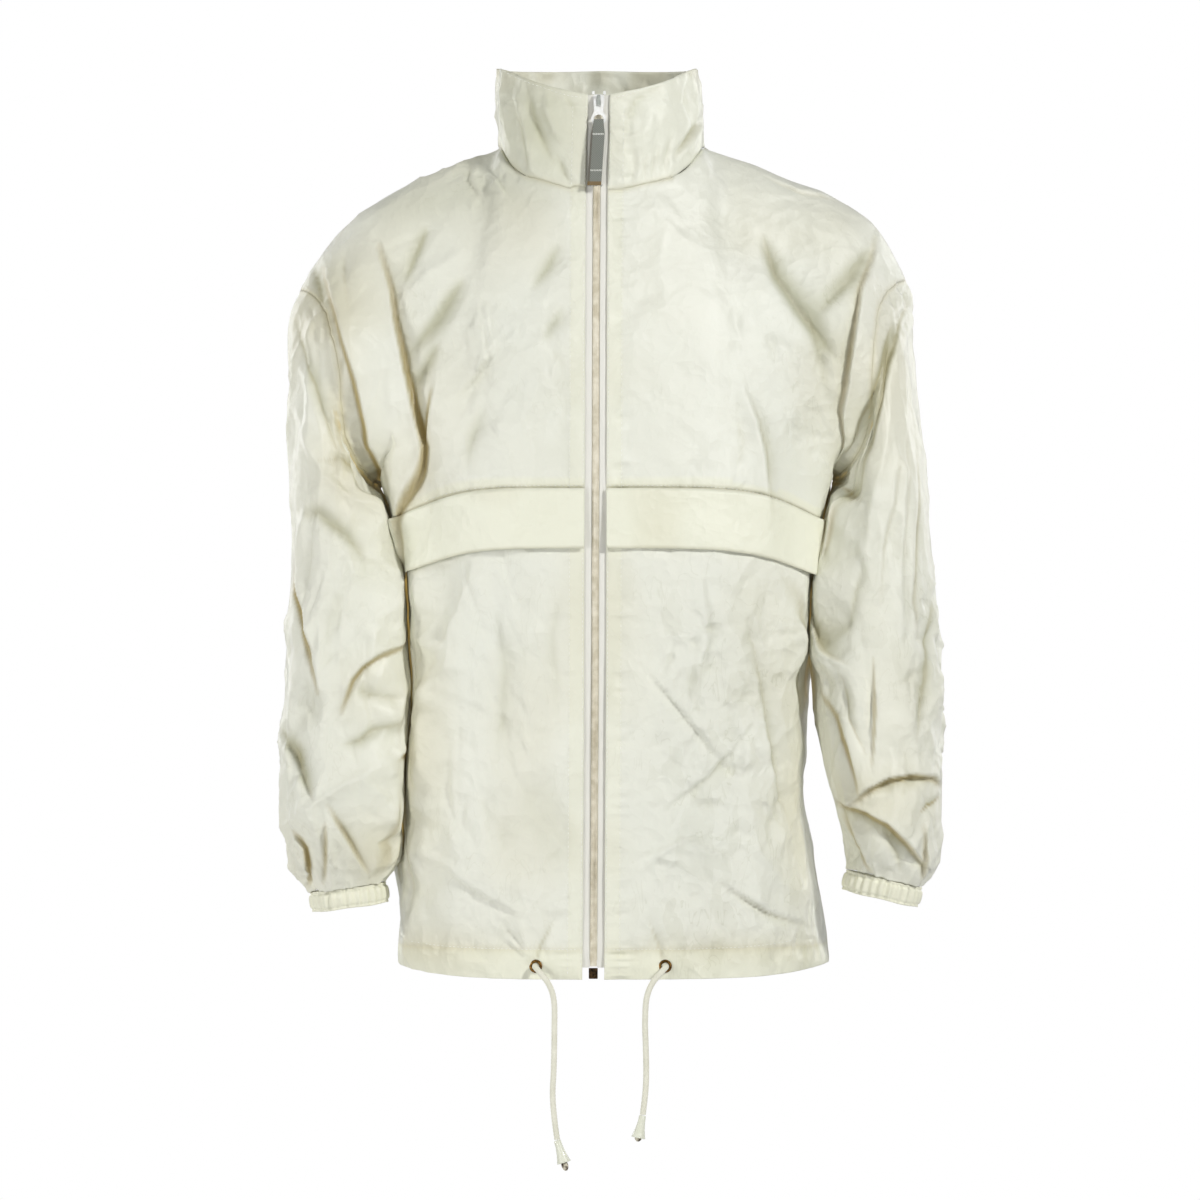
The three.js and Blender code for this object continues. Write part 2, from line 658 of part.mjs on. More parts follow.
// Turn every face round if the closed mesh is inside out
function outward(geometry) {
  const position = geometry.getAttribute('position');
  const index = geometry.getIndex().array;
  let volume = 0;
  const [a, b, c] = [vec(), vec(), vec()];
  for (let k = 0; k < index.length; k += 3) {
    a.fromBufferAttribute(position, index[k]);
    b.fromBufferAttribute(position, index[k + 1]);
    c.fromBufferAttribute(position, index[k + 2]);
    volume += a.dot(b.cross(c));
  }
  if (volume < 0) {
    for (let k = 0; k < index.length; k += 3) {
      [index[k + 1], index[k + 2]] = [index[k + 2], index[k + 1]];
    }
  }
  return geometry;
}

// A stretch of a shell grid as cloth: its outer points drawn in from the seams, and a wall
function clothGeometry(piece, options) {
  const { rows = [0, piece.grid.length - 1], lift = 0, wall = () => CLOTH, flare = () => 0 } = options;
  const grid = piece.grid.slice(rows[0], rows[1] + 1);
  const width = grid[0].length;
  const last = grid.length - 1;
  const outer = [];
  const inner = [];
  for (let i = 0; i <= last; i += 1) {
    outer.push([]);
    inner.push([]);
    for (let j = 0; j < width; j += 1) {
      const point = grid[i][j];
      const normal = normalAt(point);
      const draw = vec(0, 0, 0);
      const towards = (other) => {
        const step = other.clone().sub(point);
        step.addScaledVector(normal, -step.dot(normal));
        draw.addScaledVector(step.normalize(), SEAM_GAP);
      };
      if (i === 0) {
        towards(grid[1][j]);
      }
      if (i === last) {
        towards(grid[last - 1][j]);
      }
      if (!piece.closed && j === 0) {
        towards(grid[i][1]);
      }
      if (!piece.closed && j === width - 1) {
        towards(grid[i][width - 2]);
      }
      const thick = wall(i + rows[0], j);
      const raise = lift > 0 ? lift + thick + flare(i, j) : 0;
      const face = point.clone().add(draw).addScaledVector(normal, raise);
      outer[i].push(face);
      inner[i].push(face.clone().addScaledVector(normal, -thick));
    }
  }
  return wallGeometry(outer, inner, piece.closed);
}

const hemWall = (row) => (row < CASING_HEIGHTS.length - 1 ? HEM_CLOTH : CLOTH);
const frontHemWall = (row, column) => (column < 2 ? CLOTH : hemWall(row)); // single over the tape

// Gathered cuff: a short tube hung from the sleeve's last ring
function cuffGeometry(side) {
  const ring = sleeveSections[side].at(-1);
  const steps = CUFF_GATHERS * 2;
  const outerPoint = vec(ring.ox, ring.y, ring.oz);
  const innerPoint = vec(ring.ix, ring.y, ring.iz);
  const across = outerPoint.clone().sub(innerPoint).normalize();
  const down = vec(across.z, 0, -across.x);
  const middle = outerPoint.clone().lerp(innerPoint, 0.5);
  const half = outerPoint.distanceTo(innerPoint) / 2;
  const profile = [
    { drop: 0.4, grow: -1.4 }, { drop: CUFF_HEIGHT * 0.3, grow: 0.6 },
    { drop: CUFF_HEIGHT * 0.7, grow: 0.4 }, { drop: CUFF_HEIGHT, grow: -1.6 },
  ];
  const ringAt = ({ drop, grow }, inset) => {
    const points = [];
    for (let k = 0; k < steps; k += 1) {
      const angle = (k * 2 * Math.PI) / steps;
      const wave = k % 2 === 0 ? GATHER_DEPTH : -GATHER_DEPTH;
      const size = grow + wave - inset;
      const point = middle.clone().addScaledVector(down, drop)
        .addScaledVector(across, (half + size) * Math.cos(angle));
      point.y += (ring.deep + size) * Math.sin(angle);
      point.x *= signOf[side];
      points.push(point);
    }
    return points;
  };
  return wallGeometry(profile.map((p) => ringAt(p, 0)), profile.map((p) => ringAt(p, CUFF_WALL)), true);
}

// Heights that the zip shares with the edges beside it
const zipHeights = [
  ...halves.right.front.map((row) => row[0].z),
  ...shell.collar.grid.slice(1).map((row) => row[0].z),
].filter((z) => z > ZIP_BOTTOM_Z && z < ZIP_TOP_Z);

// Straight-sided strip that follows the front line between two heights
function zipStrip(fromZ, toZ, section) {
  const heights = [fromZ, ...zipHeights.filter((z) => z > fromZ + 3 && z < toZ - 3), toZ];
  const layer = (points) => heights.map((z) => points.map(([x, y]) => vec(zipX(z) + x, frontY(z) + y, z)));
  return wallGeometry(layer(section.map((p) => [p.x, p.front])), layer(section.map((p) => [p.x, p.back])));
}

function tapeGeometry(side) {
  const sign = signOf[side];
  const columns = [TAPE_INNER, TAPE_OUTER].map((x) => (
    { x: sign * x, front: TAPE_BACK, back: TAPE_BACK + TAPE_THICK }));
  return zipStrip(ZIP_BOTTOM_Z, ZIP_TOP_Z, columns);
}

function coilGeometry() {
  const half = COIL_WIDTH / 2;
  const back = COIL_PROUD + COIL_DEPTH;
  const section = [
    { x: -half, front: back - 1, back }, { x: -half * 0.5, front: COIL_PROUD, back },
    { x: half * 0.5, front: COIL_PROUD, back }, { x: half, front: back - 1, back },
  ];
  return zipStrip(ZIP_BOTTOM_Z + 1, SLIDER_Z - 2, section);
}

// Solid helpers for the hardware
function toManifold(geometry) {
  const bare = geometry.clone();
  bare.deleteAttribute('normal');
  bare.deleteAttribute('uv');
  const merged = BufferGeometryUtils.mergeVertices(bare, 1e-4);
  return new wasm.Manifold(new wasm.Mesh({
    numProp: 3,
    vertProperties: new Float32Array(merged.getAttribute('position').array),
    triVerts: new Uint32Array(merged.getIndex().array),
  }));
}

function fromManifold(solid) {
  const mesh = solid.getMesh();
  const geometry = new THREE.BufferGeometry();
  geometry.setAttribute('position', new THREE.Float32BufferAttribute(mesh.vertProperties, 3));
  geometry.setIndex([...mesh.triVerts]);
  return geometry;
}

const box = (width, depth, height, x, y, z) => (
  new THREE.BoxGeometry(width, depth, height).translate(x, y, z));

// Plate in the XZ plane cut from an outline, its front at y
function plate(shape, thick, y) {
  const geometry = new THREE.ExtrudeGeometry(shape, { depth: thick, bevelEnabled: false, curveSegments: 8 });
  return geometry.rotateX(Math.PI / 2).translate(0, y + thick, 0);
}

const sliderX = zipX(SLIDER_Z);
const coilFront = frontY(SLIDER_Z) + COIL_PROUD;
const PLATE_THICK = 1.3;
const RUN_GAP = 0.35;
const plateFront = coilFront - RUN_GAP - PLATE_THICK;
const coilBack = coilFront + COIL_DEPTH;
const BRIDGE_HEIGHT = 4.2;
const PIVOT_Y = plateFront - 1.9;

function sliderGeometry() {
  const outline = new THREE.Shape();
  const half = SLIDER_WIDTH / 2;
  const low = SLIDER_Z - SLIDER_LENGTH / 2;
  const high = SLIDER_Z + SLIDER_LENGTH / 2;
  outline.moveTo(-half + 1.6, low);
  outline.lineTo(half - 1.6, low);
  outline.quadraticCurveTo(half - 0.6, low, half - 0.6, low + 2);
  outline.lineTo(half, high - 4);
  outline.quadraticCurveTo(half, high, half - 3, high);
  outline.lineTo(-half + 3, high);
  outline.quadraticCurveTo(-half, high, -half, high - 4);
  outline.lineTo(-half + 0.6, low + 2);
  outline.quadraticCurveTo(-half + 0.6, low, -half + 1.6, low);
  const front = plate(outline, PLATE_THICK, plateFront).translate(sliderX, 0, 0);
  const back = plate(outline, PLATE_THICK, coilBack + RUN_GAP).translate(sliderX, 0, 0);
  const neckTop = high - 0.5;
  const neckLow = SLIDER_Z - 1.4;
  const neckDepth = coilBack + RUN_GAP + 0.5 - (plateFront + 0.5);
  const neckY = plateFront + 0.5 + neckDepth / 2;
  const neck = box(4.4, neckDepth, neckTop - neckLow, sliderX, neckY, (neckTop + neckLow) / 2);
  return { front, back, neck };
}

// Arch over the front plate, its opening across X for the tab's bar
function bridgeGeometry() {
  const legLength = BRIDGE_HEIGHT;
  const half = 4.4;
  const bar = 1.1;
  const pieces = [
    box(3.2, legLength, bar, sliderX, plateFront - legLength / 2 + 0.4, PIVOT_Z + half - bar / 2),
    box(3.2, legLength, bar, sliderX, plateFront - legLength / 2 + 0.4, PIVOT_Z - half + bar / 2),
    box(3.2, bar, half * 2, sliderX, plateFront - legLength + 0.4 + bar / 2, PIVOT_Z),
  ];
  return pieces.map(toManifold).reduce((whole, part) => whole.add(part));
}

function wholeSlider() {
  const { front, back, neck } = sliderGeometry();
  return fromManifold([front, back, neck].map(toManifold).reduce((whole, part) => whole.add(part))
    .add(bridgeGeometry()));
}

// Pull tab: a bar through the bridge, two legs and a round loop for the strap
const TAB_THICK = 1.4;
const TAB_LOOP_Z = 20.5;
const TAB_LOOP_RADIUS = 6.6;
const LEG_X = 3;
const STRAP_SLOT = 3.2;

function pullTabGeometry() {
  const barLength = 2 * LEG_X + 2;
  const bar = new THREE.CylinderGeometry(0.75, 0.75, barLength, 10).rotateZ(Math.PI / 2)
    .translate(sliderX, PIVOT_Y, PIVOT_Z);
  const tabFront = PIVOT_Y - TAB_THICK / 2;
  const outline = new THREE.Shape();
  const legOut = LEG_X + 1;
  outline.moveTo(-legOut, PIVOT_Z + 0.9);
  outline.lineTo(-LEG_X + 0.9, PIVOT_Z + 0.9);
  outline.lineTo(-LEG_X + 0.9, PIVOT_Z - 6.2);
  outline.lineTo(LEG_X - 0.9, PIVOT_Z - 6.2);
  outline.lineTo(LEG_X - 0.9, PIVOT_Z + 0.9);
  outline.lineTo(legOut, PIVOT_Z + 0.9);
  outline.lineTo(legOut, TAB_LOOP_Z + 6.5);
  outline.lineTo(TAB_LOOP_RADIUS, TAB_LOOP_Z + 1.5);
  outline.absarc(0, TAB_LOOP_Z, TAB_LOOP_RADIUS, 0.2, -Math.PI - 0.2, true);
  outline.lineTo(-TAB_LOOP_RADIUS, TAB_LOOP_Z + 1.5);
  outline.lineTo(-legOut, TAB_LOOP_Z + 6.5);
  outline.closePath();
  const slot = new THREE.Path();
  slot.moveTo(-4.6, TAB_LOOP_Z - 2);
  slot.lineTo(4.6, TAB_LOOP_Z - 2);
  slot.lineTo(4.6, TAB_LOOP_Z);
  slot.quadraticCurveTo(4, TAB_LOOP_Z + STRAP_SLOT, 0, TAB_LOOP_Z + STRAP_SLOT + 0.6);
  slot.quadraticCurveTo(-4, TAB_LOOP_Z + STRAP_SLOT, -4.6, TAB_LOOP_Z);
  slot.closePath();
  outline.holes.push(slot);
  const body = plate(outline, TAB_THICK, tabFront).translate(sliderX, 0, 0);
  return fromManifold(toManifold(body).add(toManifold(bar)));
}

// Strap: webbing folded through the loop, hanging in front of and behind its lower rim
function strapGeometry() {
  const rimLow = TAB_LOOP_Z - TAB_LOOP_RADIUS;
  const strapThick = 1.1;
  const rimFront = PIVOT_Y - TAB_THICK / 2 - 0.35;
  const rimBack = PIVOT_Y + TAB_THICK / 2 + 0.35;
  const top = TAB_LOOP_Z - 2 + 0.4;
  const foot = -39;
  const outline = new THREE.Shape();
  outline.moveTo(rimFront - strapThick, top + 0.6);
  outline.lineTo(rimFront, top + strapThick + 0.3);
  outline.lineTo(rimBack, top + strapThick + 0.3);
  outline.lineTo(rimBack + strapThick, top + 0.6);
  outline.lineTo(rimBack + strapThick, rimLow - 1);
  outline.lineTo(PIVOT_Y + strapThick, rimLow - 6);
  outline.lineTo(PIVOT_Y + strapThick - 0.6, foot);
  outline.lineTo(PIVOT_Y - strapThick - 0.9, foot);
  outline.lineTo(PIVOT_Y - strapThick - 0.3, rimLow - 6);
  outline.lineTo(rimFront - strapThick, rimLow - 1);
  outline.closePath();
  const eye = new THREE.Shape();
  eye.moveTo(rimFront, top);
  eye.lineTo(rimBack, top);
  eye.lineTo(rimBack, rimLow - 0.9);
  eye.lineTo(PIVOT_Y, rimLow - 2.6);
  eye.lineTo(rimFront, rimLow - 0.9);
  eye.closePath();
  const extruded = (shape, depth) => (
    new THREE.ExtrudeGeometry(shape, { depth, bevelEnabled: false }).translate(0, 0, -depth / 2));
  const opening = toManifold(extruded(eye, STRAP_WIDTH + 2));
  const folded = toManifold(extruded(outline, STRAP_WIDTH)).subtract(opening);
  const strap = fromManifold(folded);
  const position = strap.getAttribute('position');
  for (let k = 0; k < position.count; k += 1) {
    const [y, z, x] = [position.getX(k), position.getY(k), position.getZ(k)];
    const narrow = z > rimLow - 4 ? STRAP_NARROW : 1;
    const lean = ((z - top) / (foot - top)) * STRAP_LEAN;
    position.setXYZ(k, sliderX + x * narrow + lean, y, z);
  }
  return outward(strap);
}

function outwardSoup(geometry) {
  geometry.deleteAttribute('normal');
  geometry.deleteAttribute('uv');
  return outward(BufferGeometryUtils.mergeVertices(geometry, 1e-4));
}

// Bottom box and pin of the zip
function bottomBoxGeometry() {
  const y = frontY(HEM_Z);
  return box(8, 3.4, 9.6, zipX(HEM_Z), y + 1.1, ZIP_BOTTOM_Z - 0.4 - 4.8);
}

function topStopGeometry(side) {
  const z = ZIP_TOP_Z + 2;
  return box(2.6, 2.2, 3.2, zipX(z) + signOf[side] * (TAPE_INNER + 1.6), frontY(z) + 1.6, z);
}

// Brass eyelet lying on the hem casing round the cord's hole
function eyeletGeometry(side) {
  const profile = [
    new THREE.Vector2(EYELET_HOLE, 0), new THREE.Vector2(EYELET_RADIUS, 0),
    new THREE.Vector2(EYELET_RADIUS - 0.3, 0.7), new THREE.Vector2((EYELET_HOLE + EYELET_RADIUS) / 2, 1.3),
    new THREE.Vector2(EYELET_HOLE + 0.2, 0.9), new THREE.Vector2(EYELET_HOLE, 0),
  ];
  const ring = new THREE.LatheGeometry(profile, 24);
  const { point, normal } = casingPoint(side);
  ring.applyQuaternion(new THREE.Quaternion().setFromUnitVectors(vec(0, 1, 0), normal));
  const centre = point.clone().addScaledVector(normal, LAY_GAP + 0.15);
  ring.translate(centre.x, centre.y, centre.z);
  return outwardSoup(ring);
}

// Where the casing lies at the eyelet, taken from the front panel's faces
function casingPoint(side) {
  const { grid } = side === 'right' ? shell.frontRight : shell.frontLeft;
  const x = EYELET_X[side];
  const column = grid[1].findIndex((p) => Math.abs(p.x) > Math.abs(x));
  const [a, b] = [grid[1][column - 1], grid[1][column]];
  const t = (x - a.x) / (b.x - a.x);
  const point = a.clone().lerp(b, t);
  point.z = EYELET_Z;
  const normal = b.clone().sub(a).cross(vec(0, 0, 1)).normalize();
  return { point, normal: normal.y < 0 ? normal : normal.negate() };
}

function cordGeometry(side) {
  const route = new THREE.CatmullRomCurve3(cordRoutes[side].map((p) => vec(...p)), false, 'centripetal');
  const section = new THREE.Shape();
  section.absarc(0, 0, CORD_DIAMETER / 2, 0, 2 * Math.PI, false);
  const tube = new THREE.ExtrudeGeometry(section, { steps: 13, curveSegments: 5, extrudePath: route });
  return outwardSoup(tube);
}

// Bell-shaped moulded end of a cord
function cordEndGeometry(side) {
  const from = vec(...cordEnds[side].from);
  const to = vec(...cordEnds[side].to);
  const length = from.distanceTo(to);
  const profile = [
    new THREE.Vector2(0, 0.3), new THREE.Vector2(3.1, 0.3), new THREE.Vector2(3.6, length * 0.35),
    new THREE.Vector2(5, length * 0.75), new THREE.Vector2(6.3, length), new THREE.Vector2(5.6, length + 0.6),
    new THREE.Vector2(0, length + 0.6),
  ];
  return alongLine(new THREE.LatheGeometry(profile, 16), from, to);
}

function cordKnotGeometry(side) {
  const from = vec(...cordEnds[side].from);
  const to = vec(...cordEnds[side].to);
  const start = from.distanceTo(to) + 0.9;
  const { tip } = cordEnds[side];
  const profile = [
    new THREE.Vector2(0, start), new THREE.Vector2(2.6, start), new THREE.Vector2(3, start + tip * 0.5),
    new THREE.Vector2(1.8, start + tip), new THREE.Vector2(0, start + tip),
  ];
  return alongLine(new THREE.LatheGeometry(profile, 10), from, to);
}

function alongLine(geometry, from, to) {
  const direction = to.clone().sub(from).normalize();
  geometry.applyQuaternion(new THREE.Quaternion().setFromUnitVectors(vec(0, 1, 0), direction));
  geometry.translate(from.x, from.y, from.z);
  return outwardSoup(geometry);
}

// Materials
const material = (color, roughness, metalness = 0) => (
  new THREE.MeshStandardMaterial({ color, roughness, metalness, side: THREE.DoubleSide }));
const taffeta = material('#e6e6d8', 0.42);
const doubleTaffeta = material('#ebe9cc', 0.45);
const tapeWhite = material('#e9ebf0', 0.7);
const coilBeige = material('#d9cfb8', 0.4);
const enamel = material('#f4f4f2', 0.25, 0.1);
const webbing = material('#6b6f70', 0.85);
const brass = material('#5e4422', 0.35, 0.9);
const boxMetal = material('#2c2418', 0.4, 0.8);
const cordWhite = material('#e4e2cf', 0.8);
const moulded = material('#e3e5d2', 0.4);
const burnt = material('#8a7458', 0.8);

const jacket = new THREE.Group();
function add(name, geometry, look) {
  const mesh = new THREE.Mesh(geometry, look);
  mesh.name = name;
  jacket.add(mesh);
}

// Panels, named by the wearer's side
for (const [side, piece] of [['right', shell.frontRight], ['left', shell.frontLeft]]) {
  add(`front_upper_${side}`, clothGeometry(piece, { rows: [SEAM_ROW, TOP_ROW] }), taffeta);
  add(`front_lower_${side}`, clothGeometry(piece, { rows: [0, SEAM_ROW], wall: frontHemWall }), taffeta);
  const flap = {
    rows: [SEAM_ROW - FLAP_ROWS, SEAM_ROW],
    lift: LAY_GAP,
    flare: (i, j) => FLAP_FLARE * (1 - i / FLAP_ROWS) * (1 - (j / FRONT_COLUMNS) ** 5), // flat under the arm
  };
  add(`chest_flap_${side}`, clothGeometry(piece, flap), doubleTaffeta);
}
add('back', clothGeometry(shell.back, { wall: hemWall }), taffeta);
add('sleeve_right', clothGeometry(shell.sleeveRight, {}), taffeta);
add('sleeve_left', clothGeometry(shell.sleeveLeft, {}), taffeta);
add('collar', clothGeometry(shell.collar, {}), taffeta);
for (const side of ['right', 'left']) {
  add(`cuff_${side}`, cuffGeometry(side), doubleTaffeta);
  add(`zip_tape_${side}`, tapeGeometry(side), tapeWhite);
  add(`zip_top_stop_${side}`, topStopGeometry(side), enamel);
  add(`eyelet_${side}`, eyeletGeometry(side), brass);
  add(`drawcord_${side}`, cordGeometry(side), cordWhite);
  add(`cord_end_${side}`, cordEndGeometry(side), moulded);
  add(`cord_tip_${side}`, cordKnotGeometry(side), burnt);
}
add('zip_coil', coilGeometry(), coilBeige);
add('zip_box', bottomBoxGeometry(), boxMetal);
add('zip_slider', wholeSlider(), enamel);
add('pull_tab', pullTabGeometry(), enamel);
add('pull_strap', strapGeometry(), webbing);

export default jacket;
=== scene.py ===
# %% [markdown]
# # A windbreaker in its worn form
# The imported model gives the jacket's solids in one frame: metres, +Z up, the front towards -Y and
# the wearer's left towards +X. This lesson dresses those solids. The cloth becomes one thin shell
# that is creased by hand and cut into its panels again, and the zip, cords and trims follow.

# %% Load the frame
import math
import random

import bmesh
import bpy
import numpy as np
from mathutils import Matrix, Vector
from mathutils.bvhtree import BVHTree
from mathutils.kdtree import KDTree


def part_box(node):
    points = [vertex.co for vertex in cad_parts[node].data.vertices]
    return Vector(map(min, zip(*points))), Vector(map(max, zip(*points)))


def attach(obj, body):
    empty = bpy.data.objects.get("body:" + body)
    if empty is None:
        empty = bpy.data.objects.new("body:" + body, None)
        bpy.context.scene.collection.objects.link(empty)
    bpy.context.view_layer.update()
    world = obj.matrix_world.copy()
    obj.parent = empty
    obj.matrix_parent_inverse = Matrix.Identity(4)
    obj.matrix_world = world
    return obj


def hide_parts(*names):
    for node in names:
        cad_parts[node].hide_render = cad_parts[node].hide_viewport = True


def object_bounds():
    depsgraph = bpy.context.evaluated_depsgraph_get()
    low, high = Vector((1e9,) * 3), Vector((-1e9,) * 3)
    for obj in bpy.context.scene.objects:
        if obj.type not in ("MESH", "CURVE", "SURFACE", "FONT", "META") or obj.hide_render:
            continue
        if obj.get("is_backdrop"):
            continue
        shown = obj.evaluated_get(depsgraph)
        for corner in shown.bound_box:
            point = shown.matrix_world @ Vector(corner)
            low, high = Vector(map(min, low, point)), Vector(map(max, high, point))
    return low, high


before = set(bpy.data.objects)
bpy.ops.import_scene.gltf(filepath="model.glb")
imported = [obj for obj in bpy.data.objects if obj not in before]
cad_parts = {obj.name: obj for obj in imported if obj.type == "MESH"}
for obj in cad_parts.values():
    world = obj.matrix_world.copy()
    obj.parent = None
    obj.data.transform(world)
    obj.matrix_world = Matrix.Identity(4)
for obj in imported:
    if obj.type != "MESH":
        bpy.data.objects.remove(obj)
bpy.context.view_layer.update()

MM = 0.001
jacket_body = "jacket"
pull_body = "zip_pull"
SIDES = ("right", "left")
SIGN = {"right": -1, "left": 1}
random.seed(7)

# %% [markdown]
# ## The camera
# The photograph is a level view from in front. A long lens from far off keeps the sleeves, which
# hang further back than the zip, in scale with it, as in the picture. One pixel of the photograph
# is 0.9 mm at the middle of the jacket's depth, and the frame is 1200 pixels wide.

# %% Camera
PIXEL = 0.9 * MM
FRAME_WIDTH = 1200 * PIXEL
FRAME_CENTRE = Vector((0, -0.06, -0.4095))
CAMERA_DISTANCE = 6.0
SENSOR = 36.0

camera_data = bpy.data.cameras.new("camera")
camera_data.sensor_width = SENSOR
camera_data.lens = SENSOR * CAMERA_DISTANCE / FRAME_WIDTH
camera_data.clip_end = 50
camera = bpy.data.objects.new("camera", camera_data)
bpy.context.scene.collection.objects.link(camera)
camera.location = FRAME_CENTRE + Vector((0, -CAMERA_DISTANCE, 0))
camera.rotation_euler = (math.pi / 2, 0, 0)
bpy.context.scene.camera = camera
print("lens", round(camera_data.lens, 1))

# %% [markdown]
# ## Helpers for materials
# Every finish here is a Principled shader fed by a few textures. A small wrapper adds nodes and
# links, so that each material below reads as a list of what the real surface does.

# %% A small node wrapper
def srgb(text):
    """Linear colour of a hex colour, as measured on a screen."""
    values = [int(text[k:k + 2], 16) / 255 for k in (0, 2, 4)]
    return [v / 12.92 if v <= 0.04045 else ((v + 0.055) / 1.055) ** 2.4 for v in values] + [1.0]


def new_material(name, roughness, metallic=0.0, **constants):
    """A material with its Principled shader's constant sockets set directly."""
    material = bpy.data.materials.new(name)
    material.use_nodes = True
    shader = material.node_tree.nodes["Principled BSDF"]
    shader.inputs["Roughness"].default_value = roughness
    shader.inputs["Metallic"].default_value = metallic
    for socket, value in constants.items():
        shader.inputs[socket.replace("_", " ")].default_value = value
    return material, material.node_tree, shader


def add_node(tree, kind, values=None, **settings):
    """A node with its settings, its sockets' values, and links from other nodes' outputs."""
    node = tree.nodes.new(kind)
    for key, value in settings.items():
        setattr(node, key, value)
    for socket, value in (values or {}).items():
        if isinstance(value, bpy.types.NodeSocket):
            tree.links.new(value, node.inputs[socket])
        else:
            node.inputs[socket].default_value = value
    return node


def mix_colour(tree, factor, first, second, blend="MIX"):
    """The colour between two, by a factor that is a socket or a number."""
    node = add_node(tree, "ShaderNodeMix", data_type="RGBA", blend_type=blend)
    for socket, value in ((0, factor), (6, first), (7, second)):
        if isinstance(value, bpy.types.NodeSocket):
            tree.links.new(value, node.inputs[socket])
        else:
            node.inputs[socket].default_value = value
    return node.outputs[2]


def maths(tree, operation, first, second=0.0, clamp=False):
    """One step of arithmetic on sockets or numbers."""
    node = add_node(tree, "ShaderNodeMath", operation=operation, use_clamp=clamp)
    for socket, value in ((0, first), (1, second)):
        if isinstance(value, bpy.types.NodeSocket):
            tree.links.new(value, node.inputs[socket])
        else:
            node.inputs[socket].default_value = value
    return node.outputs[0]


def object_place(tree):
    """The object's own coordinates."""
    return add_node(tree, "ShaderNodeTexCoord").outputs["Object"]


def stored(tree, name):
    """A value that the mesh stores at each point."""
    return add_node(tree, "ShaderNodeAttribute", attribute_name=name).outputs["Fac"]


def noise(tree, coordinate, scale, detail=None, **values):
    """A noise texture's strength at one scale."""
    sockets = {"Vector": coordinate, "Scale": scale, **values}
    if detail is not None:
        sockets["Detail"] = detail
    return add_node(tree, "ShaderNodeTexNoise", sockets).outputs["Fac"]


def bump_into(tree, shader, height, strength, distance):
    """Feeds a height to the shader's normal."""
    bump = add_node(tree, "ShaderNodeBump", {"Height": height, "Strength": strength, "Distance": distance})
    tree.links.new(bump.outputs[0], shader.inputs["Normal"])


def bent_place(tree, coordinate, moved, scale, detail, amount):
    """A coordinate shifted by a coloured noise, so that cells on it lose their straight lines."""
    bend = add_node(tree, "ShaderNodeTexNoise", {"Vector": coordinate, "Scale": scale, "Detail": detail})
    offset = add_node(tree, "ShaderNodeVectorMath", {0: bend.outputs["Color"], 1: (0.5, 0.5, 0.5)},
                      operation="SUBTRACT")
    shift = add_node(tree, "ShaderNodeVectorMath", {0: offset.outputs[0]}, operation="SCALE")
    shift.inputs["Scale"].default_value = amount
    both = add_node(tree, "ShaderNodeVectorMath", {0: moved, 1: shift.outputs[0]}, operation="ADD")
    return both.outputs[0]


# %% [markdown]
# ## Weave, shared by every cloth
# Taffeta is a plain weave with about 30 threads a centimetre, and crosswise ribs a little stronger
# than the warp. One node group makes the weave for the cloth, the tape and the webbing: it takes a
# coordinate and the thread pitch, and gives a height.

# %% The weave group
def make_weave_group():
    tree = bpy.data.node_groups.new("weave", "ShaderNodeTree")
    face = tree.interface
    face.new_socket(name="Coordinate", in_out="INPUT", socket_type="NodeSocketVector")
    face.new_socket(name="Threads per metre", in_out="INPUT", socket_type="NodeSocketFloat")
    face.new_socket(name="Height", in_out="OUTPUT", socket_type="NodeSocketFloat")
    group_in = tree.nodes.new("NodeGroupInput")
    group_out = tree.nodes.new("NodeGroupOutput")
    split = add_node(tree, "ShaderNodeSeparateXYZ", {0: group_in.outputs[0]})
    wave = []
    for axis, output in ((0, "X"), (1, "Z")):
        turns = maths(tree, "MULTIPLY", split.outputs[output], group_in.outputs[1])
        wave.append(maths(tree, "SINE", maths(tree, "MULTIPLY", turns, 2 * math.pi)))
    crossed = maths(tree, "MULTIPLY", wave[0], wave[1])
    tree.links.new(maths(tree, "ADD", maths(tree, "MULTIPLY", crossed, 0.5), 0.5), group_out.inputs[0])
    return tree


weave_group = make_weave_group()


def weave_height(tree, coordinate, threads):
    """Height of a weave at a pitch, from the shared group."""
    node = add_node(tree, "ShaderNodeGroup", node_tree=weave_group)
    tree.links.new(coordinate, node.inputs[0])
    node.inputs[1].default_value = threads
    return node.outputs[0]


# %% [markdown]
# ## Nylon taffeta
# The cloth is a thin, glossy cream nylon. Where it lies double, at the hem, the flaps, the cuffs
# and beside the zip, it looks yellower. Deep folds and cloth lying close to other cloth get a
# painted olive-brown shade, and hollows a painted grey-green shade. Attributes on the mesh carry
# these: double, the painted olive-brown shade, grime with painted tan shade added to it, the
# painted grey-green shade, crush for how crumpled the cloth is, and glow for the light that comes
# through it where it lies close to other cloth. Fine crinkles in the bump catch the lamps.

# %% Cloth material
CREAM = srgb("ECEBDC")
CREAM_COOL = srgb("E7E9DD")
DOUBLE = srgb("EDEDD9")
# painted olive-brown shade of deep folds and of cloth lying close to other cloth
OLIVE_SHADE = srgb("96864F")
# painted grey-green shade of hollows and of crushed facets
SAGE_SHADE = srgb("C2C1AA")
# grime, and the painted tan shade where cloth lies close to other cloth and on the sides
GRIME_AND_SHADE = srgb("CFC7A4")
THROUGH = srgb("B49A5C")  # light that comes through the thin cloth
SPECK = srgb("8C7A52")


